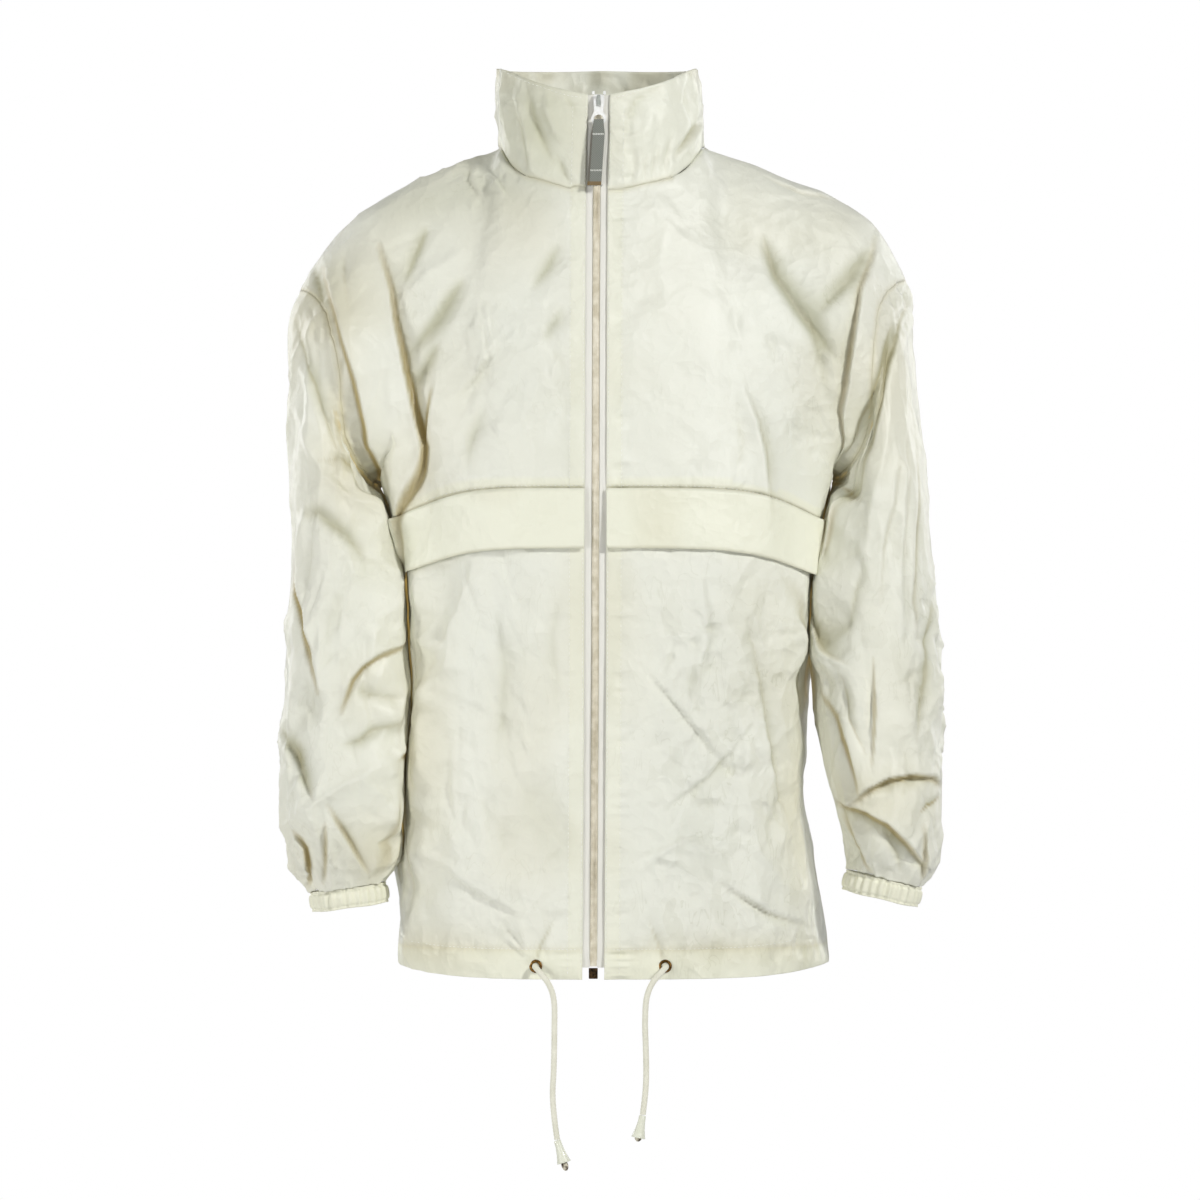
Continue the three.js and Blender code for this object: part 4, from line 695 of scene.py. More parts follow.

# %% [markdown]
# ## Main creases
# Each row is one crease of the photograph, or a like one on a side that it hides. Its path runs
# over the cloth as seen from the front or from behind, downwards or from left to right. The two
# heights and the two widths are for the side on the right hand of that run, which is the viewer's
# left where it runs down, and for the other side. Equal heights make a trough or a ridge, unequal
# ones a fold whose edge stands over what lies below. The last number is the strength of the
# painted olive-brown shade along the line.

# %% Crease table, millimetres
FRONT_CREASES = [
    # part, height and height, width and width, painted line shade, path
    ("both", -3, 8, 9, 30, 0.9, [(-250, -109), (-243, -135), (-232, -176), (-220, -213), (-212, -248),
                                 (-207, -272), (-192, -306), (-188, -340), (-180, -396)]),
    ("both", 8, -6, 26, 9, 0.9, [(-200, -92), (-189, -129), (-185, -156), (-176, -197), (-167, -236),
                                 (-158, -271), (-160, -295), (-164, -324), (-167, -355), (-173, -395)]),
    ("body", -3, 4, 5, 12, 0.7, [(-150, -221), (-154, -246), (-158, -273)]),
    ("both", -4, -4, 5, 6, 0.2, [(-262, -103), (-255, -125), (-249, -148)]),
    ("both", -5, -5, 8, 8, 0.1, [(-233, -94), (-229, -125), (-226, -150)]),
    ("body", -5, -6, 10, 6, 0.05, [(-156, -70), (-166, -98), (-178, -127)]),
    ("body", -7, -6, 8, 12, 0.08, [(-121, -119), (-146, -160), (-169, -187)]),
    ("body", -5, -5, 6, 9, 0.08, [(-144, -181), (-156, -200), (-166, -216)]),
    ("body", 3, 3, 5, 6, 0, [(-122, -95), (-155, -116), (-178, -139)]),
    ("body", -5, -4, 9, 9, 0, [(-34, -90), (-46, -112), (-62, -134)]),
    ("body", -4, -4, 8, 9, 0, [(-32, -146), (-42, -164), (-52, -182)]),
    ("body", 1.6, -1.6, 3, 4, 0, [(-109, -150), (-104, -172), (-102, -194)]),
    ("body", 1.6, -1.4, 3, 4, 0, [(-101, -148), (-98, -170), (-91, -190)]),
    ("body", 3, -3, 12, 10, 0, [(-96, -186), (-108, -204), (-126, -226)]),
    ("body", -2.5, 2, 8, 8, 0.05, [(-112, -10), (-118, -28), (-108, -46)]),
    ("body", 2, -2, 5, 6, 0, [(-100, -22), (-92, -34), (-84, -46)]),
    ("body", -4, -3, 12, 12, 0, [(-100, -236), (-112, -262), (-118, -296)]),
    ("body", 2.5, 2.5, 12, 10, 0, [(-52, -210), (-66, -250), (-60, -296)]),
    ("body", -9, -6, 7, 15, 0.05, [(147, -78), (160, -118), (181, -149), (211, -190)]),
    ("both", -5, -6, 13, 7, 0.05, [(244, -92), (224, -120), (196, -150)]),
    ("body", 3, 3, 14, 12, 0, [(150, -72), (190, -74), (226, -84)]),
    ("body", -2, 2, 4, 7, 0.15, [(152, -25), (181, -40), (218, -48)]),
    ("body", -3, -3, 5, 6, 0, [(187, -152), (197, -190), (205, -230)]),
    ("body", 4.5, -4, 10, 14, 0.1, [(133, -226), (146, -270), (154, -330)]),
    ("body", -3, -3, 7, 8, 0.05, [(120, -236), (128, -268), (122, -300)]),
    ("body", 5, -5, 9, 12, 0.25, [(160, -392), (170, -440), (177, -487), (184, -540), (190, -590)]),
    ("body", 4, -4, 8, 10, 0.1, [(134, -440), (146, -505), (154, -560), (170, -614)]),
    ("body", 5, 5, 5, 16, 0.05, [(-112, -374), (-135, -440), (-153, -500), (-163, -540), (-182, -584)]),
    ("body", -3.5, -3.5, 5, 6, 0.15, [(-168, -396), (-166, -450), (-172, -520)]),
    ("body", 2.5, -2.5, 5, 5, 0.1, [(-176, -580), (-166, -640), (-172, -700)]),
    ("body", -3, -3, 10, 12, 0, [(-96, -404), (-84, -470), (-92, -560)]),
    ("body", -2.5, -2.5, 12, 9, 0, [(-30, -390), (-42, -440), (-36, -520)]),
    ("body", 2.5, -2.5, 10, 10, 0, [(92, -390), (98, -440), (86, -500)]),
    ("body", -3, 2, 6, 9, 0, [(40, -470), (70, -505), (108, -552)]),
    ("body", -3, 2, 6, 8, 0, [(56, -596), (96, -566), (140, -516)]),
    ("body", 2.5, -2, 7, 7, 0, [(30, -646), (72, -622), (122, -640)]),
    ("body", -2.5, 2.5, 7, 7, 0, [(-150, -640), (-112, -668), (-70, -690)]),
    ("body", -3, -3, 5, 5, 0.2, [(-40, -694), (-52, -716), (-60, -738)]),
    ("body", 2.5, 2.5, 4, 4, 0, [(-74, -690), (-67, -712), (-62, -734)]),
    ("body", -2.5, -2.5, 5, 5, 0.2, [(44, -694), (52, -714), (58, -736)]),
    ("body", 2, 2, 4, 5, 0, [(78, -700), (68, -716), (60, -732)]),
    ("body", -4, 3, 8, 8, 0.1, [(112, -664), (150, -688), (186, -700)]),
    ("sleeve", -5, -5, 5, 10, 0.2, [(-277, -152), (-264, -195), (-250, -236), (-234, -275)]),
    ("sleeve", 5, 5, 5, 7, 0, [(-284, -218), (-272, -255), (-251, -291), (-231, -312), (-210, -330),
                               (-190, -350)]),
    ("sleeve", -5, -5, 6, 6, 0.4, [(-252, -284), (-232, -281), (-212, -304), (-196, -332), (-189, -348)]),
    ("sleeve", -6, -6, 7, 10, 0.12, [(-274, -332), (-252, -331), (-230, -350), (-206, -371)]),
    ("sleeve", -6, 5, 4, 14, 0.9, [(-279, -342), (-277, -392), (-271, -412), (-263, -442), (-253, -492)]),
    ("sleeve", 5, -4, 14, 7, 0.8, [(-181, -444), (-197, -458), (-213, -470), (-222, -481), (-232, -509)]),
    ("sleeve", -4, -4, 8, 9, 0.1, [(-218, -488), (-203, -495), (-189, -497)]),
    ("sleeve", -5, -5, 9, 4, 0.15, [(-232, -539), (-214, -534), (-189, -513)]),
    ("sleeve", 5, 6, 8, 6, 0, [(-290, -615), (-269, -604), (-253, -592), (-237, -580), (-213, -568),
                               (-192, -551)]),
    ("sleeve", -5, -7, 4, 10, 0.2, [(-288, -522), (-275, -548), (-265, -572), (-254, -591)]),
    ("sleeve", 3, -3, 6, 4, 0.9, [(-180, -543), (-193, -552)]),
    ("sleeve", 4, -5, 9, 6, 0.5, [(-243, -594), (-235, -609), (-223, -629), (-210, -652)]),
    ("sleeve", -4, 4, 5, 6, 0.6, [(-244, -610), (-244, -637), (-246, -661)]),
    ("sleeve", 4, -5, 6, 5, 0.9, [(-276, -619), (-266, -633), (-263, -649), (-264, -668)]),
    ("sleeve", 3, -3, 5, 5, 0.3, [(-196, -590), (-200, -625), (-204, -655)]),
    ("both", -4, 6, 12, 13, 0.5, [(249, -83), (246, -104), (235, -130), (227, -181), (220, -226),
                                  (213, -261), (207, -292)]),
    ("both", -6, -6, 5, 8, 0.35, [(264, -164), (254, -199), (240, -234), (227, -261), (210, -288)]),
    ("sleeve", -6, -2, 9, 3, 0.25, [(284, -134), (270, -168), (260, -210), (247, -257), (237, -296),
                                    (229, -324)]),
    ("sleeve", 5, 5, 8, 9, 0, [(264, -226), (252, -288), (241, -333), (236, -384)]),
    ("sleeve", -7, -7, 5, 7, 1.0, [(204, -298), (214, -305), (233, -319)]),
    ("sleeve", 3, -3, 3, 3, 0.45, [(208, -318), (206, -340), (203, -366)]),
    ("sleeve", 3, -3, 3, 3, 0.45, [(216, -320), (213, -345), (211, -368)]),
    ("sleeve", 3, -3, 3, 3, 0.4, [(225, -322), (220, -345), (214, -370)]),
    ("sleeve", 2, -2, 9, 9, 0.15, [(268, -282), (264, -323), (254, -360), (250, -414)]),
    ("sleeve", 2, -2.5, 10, 7, 0.1, [(274, -255), (275, -330), (272, -412)]),
    ("sleeve", 3, -3.5, 9, 6, 0.25, [(284, -280), (286, -333), (282, -410), (285, -446)]),
    ("sleeve", -3.5, -3.5, 6, 6, 0.1, [(238, -366), (228, -408), (222, -444)]),
    ("sleeve", 4, -5, 6, 14, 0.3, [(192, -419), (206, -444), (220, -466)]),
    ("sleeve", -3, 5, 6, 13, 0.8, [(196, -490), (209, -512), (219, -540), (231, -583)]),
    ("sleeve", -2, 3, 9, 10, 0.6, [(245, -462), (246, -512), (244, -557)]),
    ("sleeve", -5, -5, 6, 8, 0.3, [(217, -478), (222, -516), (238, -547)]),
    ("sleeve", -4, -5, 5, 6, 0.2, [(302, -396), (292, -452), (292, -486), (282, -536)]),
    ("sleeve", -6, 6, 10, 13, 0.8, [(226, -590), (241, -578), (259, -569), (283, -566), (300, -568),
                                    (310, -578)]),
    ("sleeve", -6, 6, 9, 9, 0.7, [(203, -579), (219, -594), (237, -600), (257, -610), (275, -627),
                                  (291, -647)]),
    ("sleeve", -3, 4, 5, 6, 0.6, [(219, -600), (229, -629), (242, -653)]),
    ("sleeve", -4, -4, 4, 4, 0.7, [(286, -599), (304, -586)]),
    ("sleeve", -4, 3, 5, 7, 0.4, [(290, -612), (292, -640), (289, -662)]),
    ("sleeve", -3, -3, 5, 6, 0.1, [(256, -618), (266, -636), (270, -656)]),
    ("collar", -5, 3, 5, 7, 0.2, [(96, 27), (84, 8), (70, -12)]),
    ("collar", -4, -3.5, 5, 9, 0.08, [(-66, 52), (-62, 26), (-52, 2), (-42, -18)]),
    ("collar", -3, -3, 5, 4, 0.1, [(-38, -12), (-32, -28), (-25, -40)]),
    ("collar", -3, 2.5, 4, 6, 0.1, [(-74, 30), (-67, -1), (-63, -30)]),
    ("collar", -2.5, -2.5, 5, 5, 0, [(-33, 44), (-24, 32), (-20, 20)]),
    ("collar", 3, 3, 5, 5, 0, [(-87, 62), (-88, 30), (-84, 2)]),
    ("collar", 2.6, 2.6, 7, 6, 0, [(-48, 48), (-44, 20), (-34, -2)]),
    ("collar", -3.5, -3, 4, 6, 0.05, [(56, 50), (34, 38), (26, 22), (24, 4)]),
    ("collar", 3, 3, 7, 8, 0, [(48, 30), (38, 8), (44, -10)]),
    ("collar", -3, 2, 3, 4, 0.08, [(33, -4), (33, -22), (29, -40)]),
    ("collar", -2.6, 2, 3, 4, 0.08, [(44, -12), (42, -26), (40, -37)]),
    ("collar", -2.6, 2, 3, 4, 0.08, [(54, -2), (51, -20), (49, -33)]),
    ("collar", -3, 2, 3, 5, 0.08, [(66, 4), (62, -14), (59, -30)]),
    ("collar", 2.4, -2.4, 5, 6, 0, [(80, 64), (74, 38), (84, 16)]),
]
BACK_CREASES = [
    ("body", -8, 5, 8, 26, 0.6, [(200, -96), (180, -180), (166, -300)]),
    ("both", 6, -5, 24, 8, 0.6, [(244, -120), (226, -220), (198, -305)]),
    ("both", -5, 6, 8, 24, 0.6, [(-238, -120), (-220, -220), (-192, -305)]),
    ("body", 5, -8, 26, 8, 0.6, [(-196, -96), (-176, -180), (-162, -300)]),
    ("body", -5, -4, 9, 12, 0, [(-92, -44), (-64, -76), (-18, -90)]),
    ("body", -4, -5, 12, 9, 0, [(24, -92), (70, -78), (94, -44)]),
    ("body", 3, -3, 12, 14, 0, [(-120, -120), (-60, -150), (10, -142)]),
    ("body", -3, -3, 10, 10, 0, [(30, -190), (84, -170), (130, -210)]),
    ("body", 5, -4, 9, 14, 0.1, [(-150, -330), (-120, -420), (-126, -540)]),
    ("body", -4, -4, 12, 12, 0, [(-60, -300), (-44, -430), (-58, -600)]),
    ("body", 4, -4, 14, 10, 0, [(40, -280), (56, -400), (48, -560)]),
    ("body", -5, 4, 12, 9, 0.1, [(130, -340), (118, -450), (136, -600)]),
    ("body", 5, -4, 8, 12, 0.1, [(168, -360), (160, -470), (176, -620)]),
    ("body", -3, 2.5, 9, 9, 0, [(-110, -620), (-40, -660), (40, -650)]),
    ("body", 3, -3, 8, 8, 0, [(60, -660), (110, -690), (160, -680)]),
    ("sleeve", -5, 4, 9, 9, 0.3, [(-278, -190), (-262, -280), (-240, -340)]),
    ("sleeve", -5, 6, 8, 10, 0.6, [(-266, -350), (-232, -420), (-200, -450)]),
    ("sleeve", 5, -6, 9, 9, 0.6, [(-278, -410), (-240, -470), (-196, -500)]),
    ("sleeve", -5, 4, 8, 8, 0.3, [(-262, -480), (-238, -560), (-232, -630)]),
    ("sleeve", 4, -4, 6, 7, 0.3, [(-206, -540), (-220, -600), (-228, -655)]),
    ("sleeve", -4, 4, 6, 6, 0.4, [(-276, -590), (-258, -630), (-248, -662)]),
    ("sleeve", 4, -5, 9, 9, 0.3, [(284, -190), (272, -280), (250, -350)]),
    ("sleeve", 6, -5, 8, 10, 0.6, [(292, -350), (256, -420), (214, -450)]),
    ("sleeve", -6, 5, 9, 9, 0.6, [(302, -410), (262, -470), (210, -500)]),
    ("sleeve", 4, -5, 8, 8, 0.3, [(292, -480), (270, -560), (262, -630)]),
    ("sleeve", -4, 4, 6, 7, 0.3, [(230, -550), (244, -605), (252, -657)]),
    ("sleeve", 4, -4, 6, 6, 0.4, [(300, -595), (284, -630), (272, -662)]),
    ("collar", -2.6, -2.6, 6, 8, 0, [(-60, 70), (-50, 36), (-58, 4)]),
    ("collar", 2.4, -2, 8, 6, 0, [(20, 76), (30, 40), (22, 6)]),
    ("collar", -2.6, -2.2, 6, 6, 0, [(70, 70), (62, 40), (68, 8)]),
]
EDGE = 1.7           # half width in mm of a fold's edge
SHARPNESS = 1.25     # 1 gives a knife edge, 2 a round one


def crease_shape(row, x, z):
    """Height and painted brown shade of one crease at points seen from its side."""
    _, first, second, first_width, second_width, line_shade, path = row
    best = np.full(x.shape, 1e9)
    signed = np.zeros_like(x)
    along = np.zeros_like(x)
    lengths = [math.dist(a, b) for a, b in zip(path, path[1:])]
    passed = 0.0
    for (ax, az), (bx, bz), length in zip(path, path[1:], lengths):
        dx, dz = (bx - ax) / length, (bz - az) / length
        t = np.clip((x - ax) * dx + (z - az) * dz, 0, length)
        gap = np.hypot(x - (ax + t * dx), z - (az + t * dz))
        hand = np.sign((x - ax) * dz - (z - az) * dx)
        nearer = gap < best
        best = np.where(nearer, gap, best)
        signed = np.where(nearer, gap * hand, signed)
        along = np.where(nearer, passed + t, along)
        passed += length
    along /= passed
    taper = np.sin(np.pi * np.clip(0.03 + 0.94 * along, 0, 1)) ** 0.6
    share = smooth_step(signed, -EDGE, EDGE)
    first_side = first * np.exp(-(best / first_width) ** SHARPNESS)
    second_side = second * np.exp(-(best / second_width) ** SHARPNESS)
    height = (first_side * share + second_side * (1 - share)) * taper
    low = -1 if second < first else 1
    reach = 1.0 + 0.13 * abs(first - second)
    # Painted olive-brown shade in a band on the fold's lower side.
    line = line_shade * np.exp(-((signed - low * reach * 0.6) / reach) ** 4) * taper
    return height, line


def smooth_step(value, low, high):
    t = np.clip((value - low) / (high - low), 0, 1)
    return t * t * (3 - 2 * t)


def all_creases(points, normals, masks):
    """The main creases at every point: summed heights and the strongest painted brown shade."""
    total = np.zeros(len(points))
    line_shades = np.zeros(len(points))
    x, z = points[:, 0], points[:, 2]
    for rows, facing in ((FRONT_CREASES, -1), (BACK_CREASES, 1)):
        looks = smooth_step(facing * normals[:, 1], 0.02, 0.4)
        for row in rows:
            reach = 3 * max(row[3], row[4])
            xs = [p[0] for p in row[6]]
            zs = [p[1] for p in row[6]]
            near = (looks > 0) & (masks[row[0]] > 0.01)
            near &= (x > min(xs) - reach) & (x < max(xs) + reach)
            near &= (z > min(zs) - reach) & (z < max(zs) + reach)
            chosen = np.flatnonzero(near)
            height, line = crease_shape(row, x[chosen], z[chosen])
            weight = looks[chosen] * masks[row[0]][chosen] * (0.75 if facing > 0 else 1)
            total[chosen] += height * weight
            line_shades[chosen] = np.maximum(line_shades[chosen], line * weight * (0.5 if facing > 0 else 1))
    return total, line_shades


not_collar = (~on_collar).astype(float)
masks = {"body": mask_body, "sleeve": mask_sleeve, "both": not_collar, "collar": mask_collar}
by_hand, fold_line_shade = all_creases(place, normal, masks)
print("creases by hand, mm", round(by_hand.min(), 1), round(by_hand.max(), 1))

# %% [markdown]
# ## Crumple
# Stored nylon is crushed all over: little flat facets between crisp lines. Ridged noise gives
# that, since the absolute value of a smooth noise has a sharp line where it crosses zero. Three
# sizes are added, drawn out along the sleeves and across the body's lower half.

# %% Smooth noise over arrays
def lattice(ix, iy, iz, seed):
    """A repeatable value from -1 to 1 at each lattice point."""
    mixed = (ix * 374761393 + iy * 668265263 + iz * 2147483647 + seed * 144665) & 0xFFFFFFFF
    mixed = (mixed ^ (mixed >> 13)) * 1274126177 & 0xFFFFFFFF
    mixed = mixed ^ (mixed >> 16)
    return (mixed % 65536) / 32767.5 - 1


def soft_noise(points, size, seed):
    """Value noise with smooth steps, one cell being size mm."""
    scaled = points / size
    cell = np.floor(scaled).astype(np.int64)
    f = scaled - cell
    f = f * f * f * (f * (f * 6 - 15) + 10)
    total = np.zeros(len(points))
    for dx in (0, 1):
        for dy in (0, 1):
            for dz in (0, 1):
                weight = ((f[:, 0] if dx else 1 - f[:, 0]) * (f[:, 1] if dy else 1 - f[:, 1])
                          * (f[:, 2] if dz else 1 - f[:, 2]))
                total += weight * lattice(cell[:, 0] + dx, cell[:, 1] + dy, cell[:, 2] + dz, seed)
    return total


def ridged(points, size, seed):
    """Crisp lines between soft facets, about 0 on average."""
    bent = points + 0.35 * size * np.stack(
        [soft_noise(points, size * 1.7, seed + k) for k in (11, 12, 13)], axis=1)
    return 0.45 - np.abs(soft_noise(bent, size, seed)) * 1.6


def turned(points, degrees, stretch):
    """Points drawn out along a slanting direction in the XZ plane."""
    angle = math.radians(degrees)
    along = points[:, 0] * math.sin(angle) + points[:, 2] * math.cos(angle)
    across = points[:, 0] * math.cos(angle) - points[:, 2] * math.sin(angle)
    return np.stack([across, points[:, 1], along / stretch], axis=1)


# %% Large undulations of the body, the sleeves and the collar
x, y, z = place[:, 0], place[:, 1], place[:, 2]
body_lean = turned(place, 24, 1.8)
lean_other = turned(place, -30, 1.6)
crumple_body = 3.4 * ridged(body_lean, 66, 1) + 2.0 * ridged(lean_other, 34, 2)
sleeve_long = np.where((x < 0)[:, None], turned(place, 22, 2.6), turned(place, -10, 3.0))
crumple_sleeve = 3.4 * ridged(sleeve_long, 42, 4) + 1.8 * ridged(sleeve_long, 22, 5)
crumple_collar = 1.9 * ridged(turned(place, 8, 2.0), 30, 7) + 1.0 * ridged(place, 13, 8)
calm_chest = 0.6 + 0.4 * smooth_step(-z, 320, 420)
near_armhole = np.exp(-(far_armhole / 16) ** 2)
share_sleeve = np.where(on_sleeve, 1 - 0.5 * near_armhole, 0.5 * near_armhole)
crumple = share_sleeve * crumple_sleeve + (1 - share_sleeve) * crumple_body * calm_chest
crumple = np.where(on_collar, crumple_collar * (1 - np.exp(-(far_neckline / 6) ** 2)), crumple)
crumple *= 1 - 0.5 * np.exp(-(far_neckline / 12) ** 2)
print("crumple, mm", round(crumple.min(), 2), round(crumple.max(), 2))

# %% [markdown]
# ## Scattered small creases
# Between the main creases the nylon keeps short crisp lines from having been folded away. They are
# strewn at random over zones, thickly where the photograph shows crushed cloth. Each one is a line
# on the surface with a knife edge that dies out at both ends, laid in the plane that touches the
# shell at its middle.

# %% Scatter
ZONES = [
    # name, number, length, height, width, lean in degrees, spread, x range, z range, facing
    ("body", 230, (22, 80), (0.5, 1.5), (3, 9), 25, 40, (-280, 280), (-730, -20), 0),
    ("body", 26, (10, 34), (0.4, 0.9), (2.5, 5), 30, 50, (-150, -85), (-60, -8), -1),
    ("body", 130, (12, 40), (0.7, 1.8), (2.5, 6), 35, 50, (50, 165), (-640, -420), -1),
    ("body", 45, (12, 36), (0.6, 1.4), (2.5, 5), -10, 40, (-120, -20), (-260, -140), -1),
    ("body", 60, (60, 150), (0.45, 1.0), (1.8, 7), 20, 30, (-200, 210), (-720, -60), 0),
    ("body", 60, (40, 130), (0.5, 1.1), (1.8, 6), 14, 12, (-175, -30), (-620, -390), -1),
    ("sleeve", 60, (60, 170), (0.7, 1.6), (1.8, 6), 4, 12, (-320, 320), (-600, -160), 0),
    ("body", 40, (12, 36), (0.6, 1.4), (2.5, 5), -15, 40, (120, 215), (-300, -160), -1),
    ("body", 70, (12, 44), (0.6, 1.5), (3, 6), 60, 50, (-185, 190), (-725, -640), 0),
    ("sleeve", 170, (24, 110), (0.8, 2.2), (3, 9), 8, 22, (-320, 320), (-640, -150), 0),
    ("sleeve", 80, (14, 44), (0.9, 2.2), (2.5, 6), 0, 60, (276, 316), (-560, -390), 0),
    ("sleeve", 40, (12, 40), (0.7, 1.6), (2.5, 5), 20, 45, (245, 300), (-170, -90), 0),
    ("sleeve", 60, (18, 60), (0.7, 1.7), (2.5, 5), 10, 25, (-295, -235), (-640, -430), 0),
    ("sleeve", 60, (12, 40), (0.7, 1.8), (2.5, 6), 20, 50, (-320, 320), (-668, -600), 0),
    ("collar", 60, (8, 40), (0.5, 1.3), (2.5, 6), 15, 35, (-110, 110), (-40, 80), 0),
]
point_tree = KDTree(len(place))
for index, spot in enumerate(place):
    point_tree.insert(spot, index)
point_tree.balance()


def strew(zone, generator, total):
    """Adds one zone's creases to the heights."""
    part, number, length, height, width, lean, spread, x_range, z_range, facing = zone
    inside = {"body": on_body, "sleeve": on_sleeve, "collar": on_collar}[part]
    inside = inside & (x > x_range[0]) & (x < x_range[1]) & (z > z_range[0]) & (z < z_range[1])
    if facing:
        inside &= normal[:, 1] * facing > 0.2
    middles = generator.choice(np.flatnonzero(inside), number)
    for middle in middles:
        long = generator.uniform(*length)
        rise = generator.uniform(*height) * generator.choice((-1, 1))
        first, second = generator.uniform(*width, 2)
        bend = generator.normal(0, 0.004)
        mirror = 1 if place[middle, 0] < 0 else -1
        angle = math.radians(mirror * lean + generator.normal(0, spread))
        out = normal[middle]
        down = np.array([0.0, 0.0, -1.0]) + out * out[2]
        down /= max(np.linalg.norm(down), 1e-6)
        side = np.cross(out, down)
        run = down * math.cos(angle) + side * math.sin(angle)
        across = np.cross(out, run)
        near = np.array([hit[1] for hit in point_tree.find_range(place[middle], long / 2)])
        near = near[normal[near] @ out > 0.2]
        offset = place[near] - place[middle]
        u = offset @ run / (long / 2)
        v = offset @ across - bend * (offset @ run) ** 2
        fade = np.clip(1 - u * u, 0, 1) ** 0.8
        total[near] += rise * fade * np.exp(-np.abs(v) / np.where(v > 0, first, second))


scattered = np.zeros(len(place))
generator = np.random.default_rng(12)
for zone in ZONES:
    strew(zone, generator, scattered)
scattered *= 1.7 * (1 - 0.7 * np.exp(-(far_seam / 4) ** 2))
print("scattered, mm", round(scattered.min(), 2), round(scattered.max(), 2))

# %% [markdown]
# ## Puckers beside the stitching
# A stitched seam gathers thin nylon a little, so short puckers run off it at right angles: along
# the zip, under the chest seam, along the hem and at the armholes, and gathers fan out of the
# cuffs. Each is a wave along the seam that fades away from it.

# %% Puckers and gathers
ZIP_X = [(-747, -6), (-500, -4.5), (-320, -4), (-50, -3), (45, -1)]
ZIP_VISIBLE = 9.5
FACING = 14.0


def zip_x(height):
    return np.interp(height, [p[0] for p in ZIP_X], [p[1] for p in ZIP_X])


def waves(along, pitch, seed):
    """Uneven waves of about the given pitch in mm."""
    spots = np.stack([along / pitch, np.zeros_like(along), np.zeros_like(along)], axis=1)
    return soft_noise(spots, 0.5, seed) + 0.5 * soft_noise(spots, 0.23, seed + 1)


from_zip = np.abs(x - zip_x(z)) - ZIP_VISIBLE
front_side = normal[:, 1] < -0.3
FLAP_DEPTH = 54


def chest_seam(across, side):
    """Height of the chest seam, which dips towards the armhole."""
    return -310 - 32 * (np.abs(across) / (182 if side == "right" else 200)) ** 5


from_chest = z - np.where(x < 0, chest_seam(x, "right"), chest_seam(x, "left"))
from_hem = z + 747
pucker = np.zeros(len(place))
beside_facing = np.exp(-((from_zip - FACING) / 9) ** 2)
pucker += front_side * 0.8 * waves(z, 9, 21) * beside_facing * np.where(x > 0, 1.9, 0.8)
pucker += front_side * on_body * 0.7 * waves(x, 8, 23) * np.exp(-((from_chest - 2) / 9) ** 2)
around = np.where(np.abs(normal[:, 1]) > 0.5, x, y)
pucker += on_body * 0.9 * waves(around, 9, 25) * np.exp(-((from_hem - 27) / 11) ** 2)
pucker += on_body * 0.9 * waves(around, 16, 27) * np.exp(-(from_hem / 9) ** 2)
pucker += on_collar * 1.1 * waves(around, 13, 29) * np.exp(-((far_neckline - 4) / 8) ** 2)
pucker += (on_sleeve | on_body) * 0.6 * waves(z + y, 10, 31) * np.exp(-((far_armhole - 3) / 8) ** 2)

CUFF_AXIS = {"right": (227.5, -48.0), "left": (256.5, -48.0)}
gather = np.zeros(len(place))
for side in SIDES:
    axis_x, axis_y = CUFF_AXIS[side]
    angle = np.arctan2(y - axis_y, x - SIGN[side] * axis_x)
    turns = np.stack([np.cos(angle), np.sin(angle), np.zeros_like(angle)], axis=1) * 40
    coarse = ridged(turns + np.stack([z * 0, z * 0, z * 0.25], axis=1), 17, 61 + SIGN[side])
    fine = ridged(turns + np.stack([z * 0, z * 0, z * 0.4], axis=1), 7.5, 63 + SIGN[side])
    arm = on_sleeve & (x * SIGN[side] > 0)
    gather += arm * (2.6 * coarse * smooth_step(-z, 570, 650) + 1.7 * fine * smooth_step(-z, 630, 662))
casing_roll = on_body * 1.2 * np.exp(-((from_hem - 13) / 9) ** 2)
print("gathers, mm", round(gather.min(), 2), round(gather.max(), 2))

# %% Move the shell's points and store what the material reads
flat_front = 1 - front_side * (1 - smooth_step(from_zip, 2, 26))
flat_collar_front = 1 - (on_collar & front_side) * (1 - smooth_step(from_zip, 2, 20))
stiff = flat_front * flat_collar_front
under_flap = front_side & on_body & (from_chest < 1) & (from_chest > -60)
edge_hem = 1 - 0.5 * on_body * np.exp(-(from_hem / 20) ** 2)
along_normal = (crumple + scattered) * edge_hem * stiff + pucker + gather + casing_roll
along_view = 1.25 * by_hand * stiff
view_side = 0.3 * normal
view_side[:, 1] = np.sign(normal[:, 1]) * np.sqrt(1 - view_side[:, 0] ** 2 - view_side[:, 2] ** 2)
view_side = np.where(on_collar[:, None], normal, view_side)
move = along_normal + along_view
limit_under = 1.2 + 10 * smooth_step(np.abs(from_chest + 27), 24, 34)
held_back = np.where(under_flap & (move > limit_under), limit_under / np.maximum(move, 1e-6), 1.0)
place_new = place + normal * (along_normal * held_back)[:, None]
place_new += view_side * (along_view * held_back)[:, None]
crowded = np.full(len(place), 99.0)
between = np.flatnonzero((np.abs(x) > 140) & (z < -235) & (far_armhole > 2))
trees = {}
for part, chosen in (("sleeve", on_sleeve), ("body", on_body)):
    trees[part] = KDTree(int(chosen.sum()))
    for number, index in enumerate(np.flatnonzero(chosen)):
        trees[part].insert(place_new[index], number)
    trees[part].balance()
closer = np.zeros_like(place_new)
closed_until = np.where(x < 0, -640, -455)
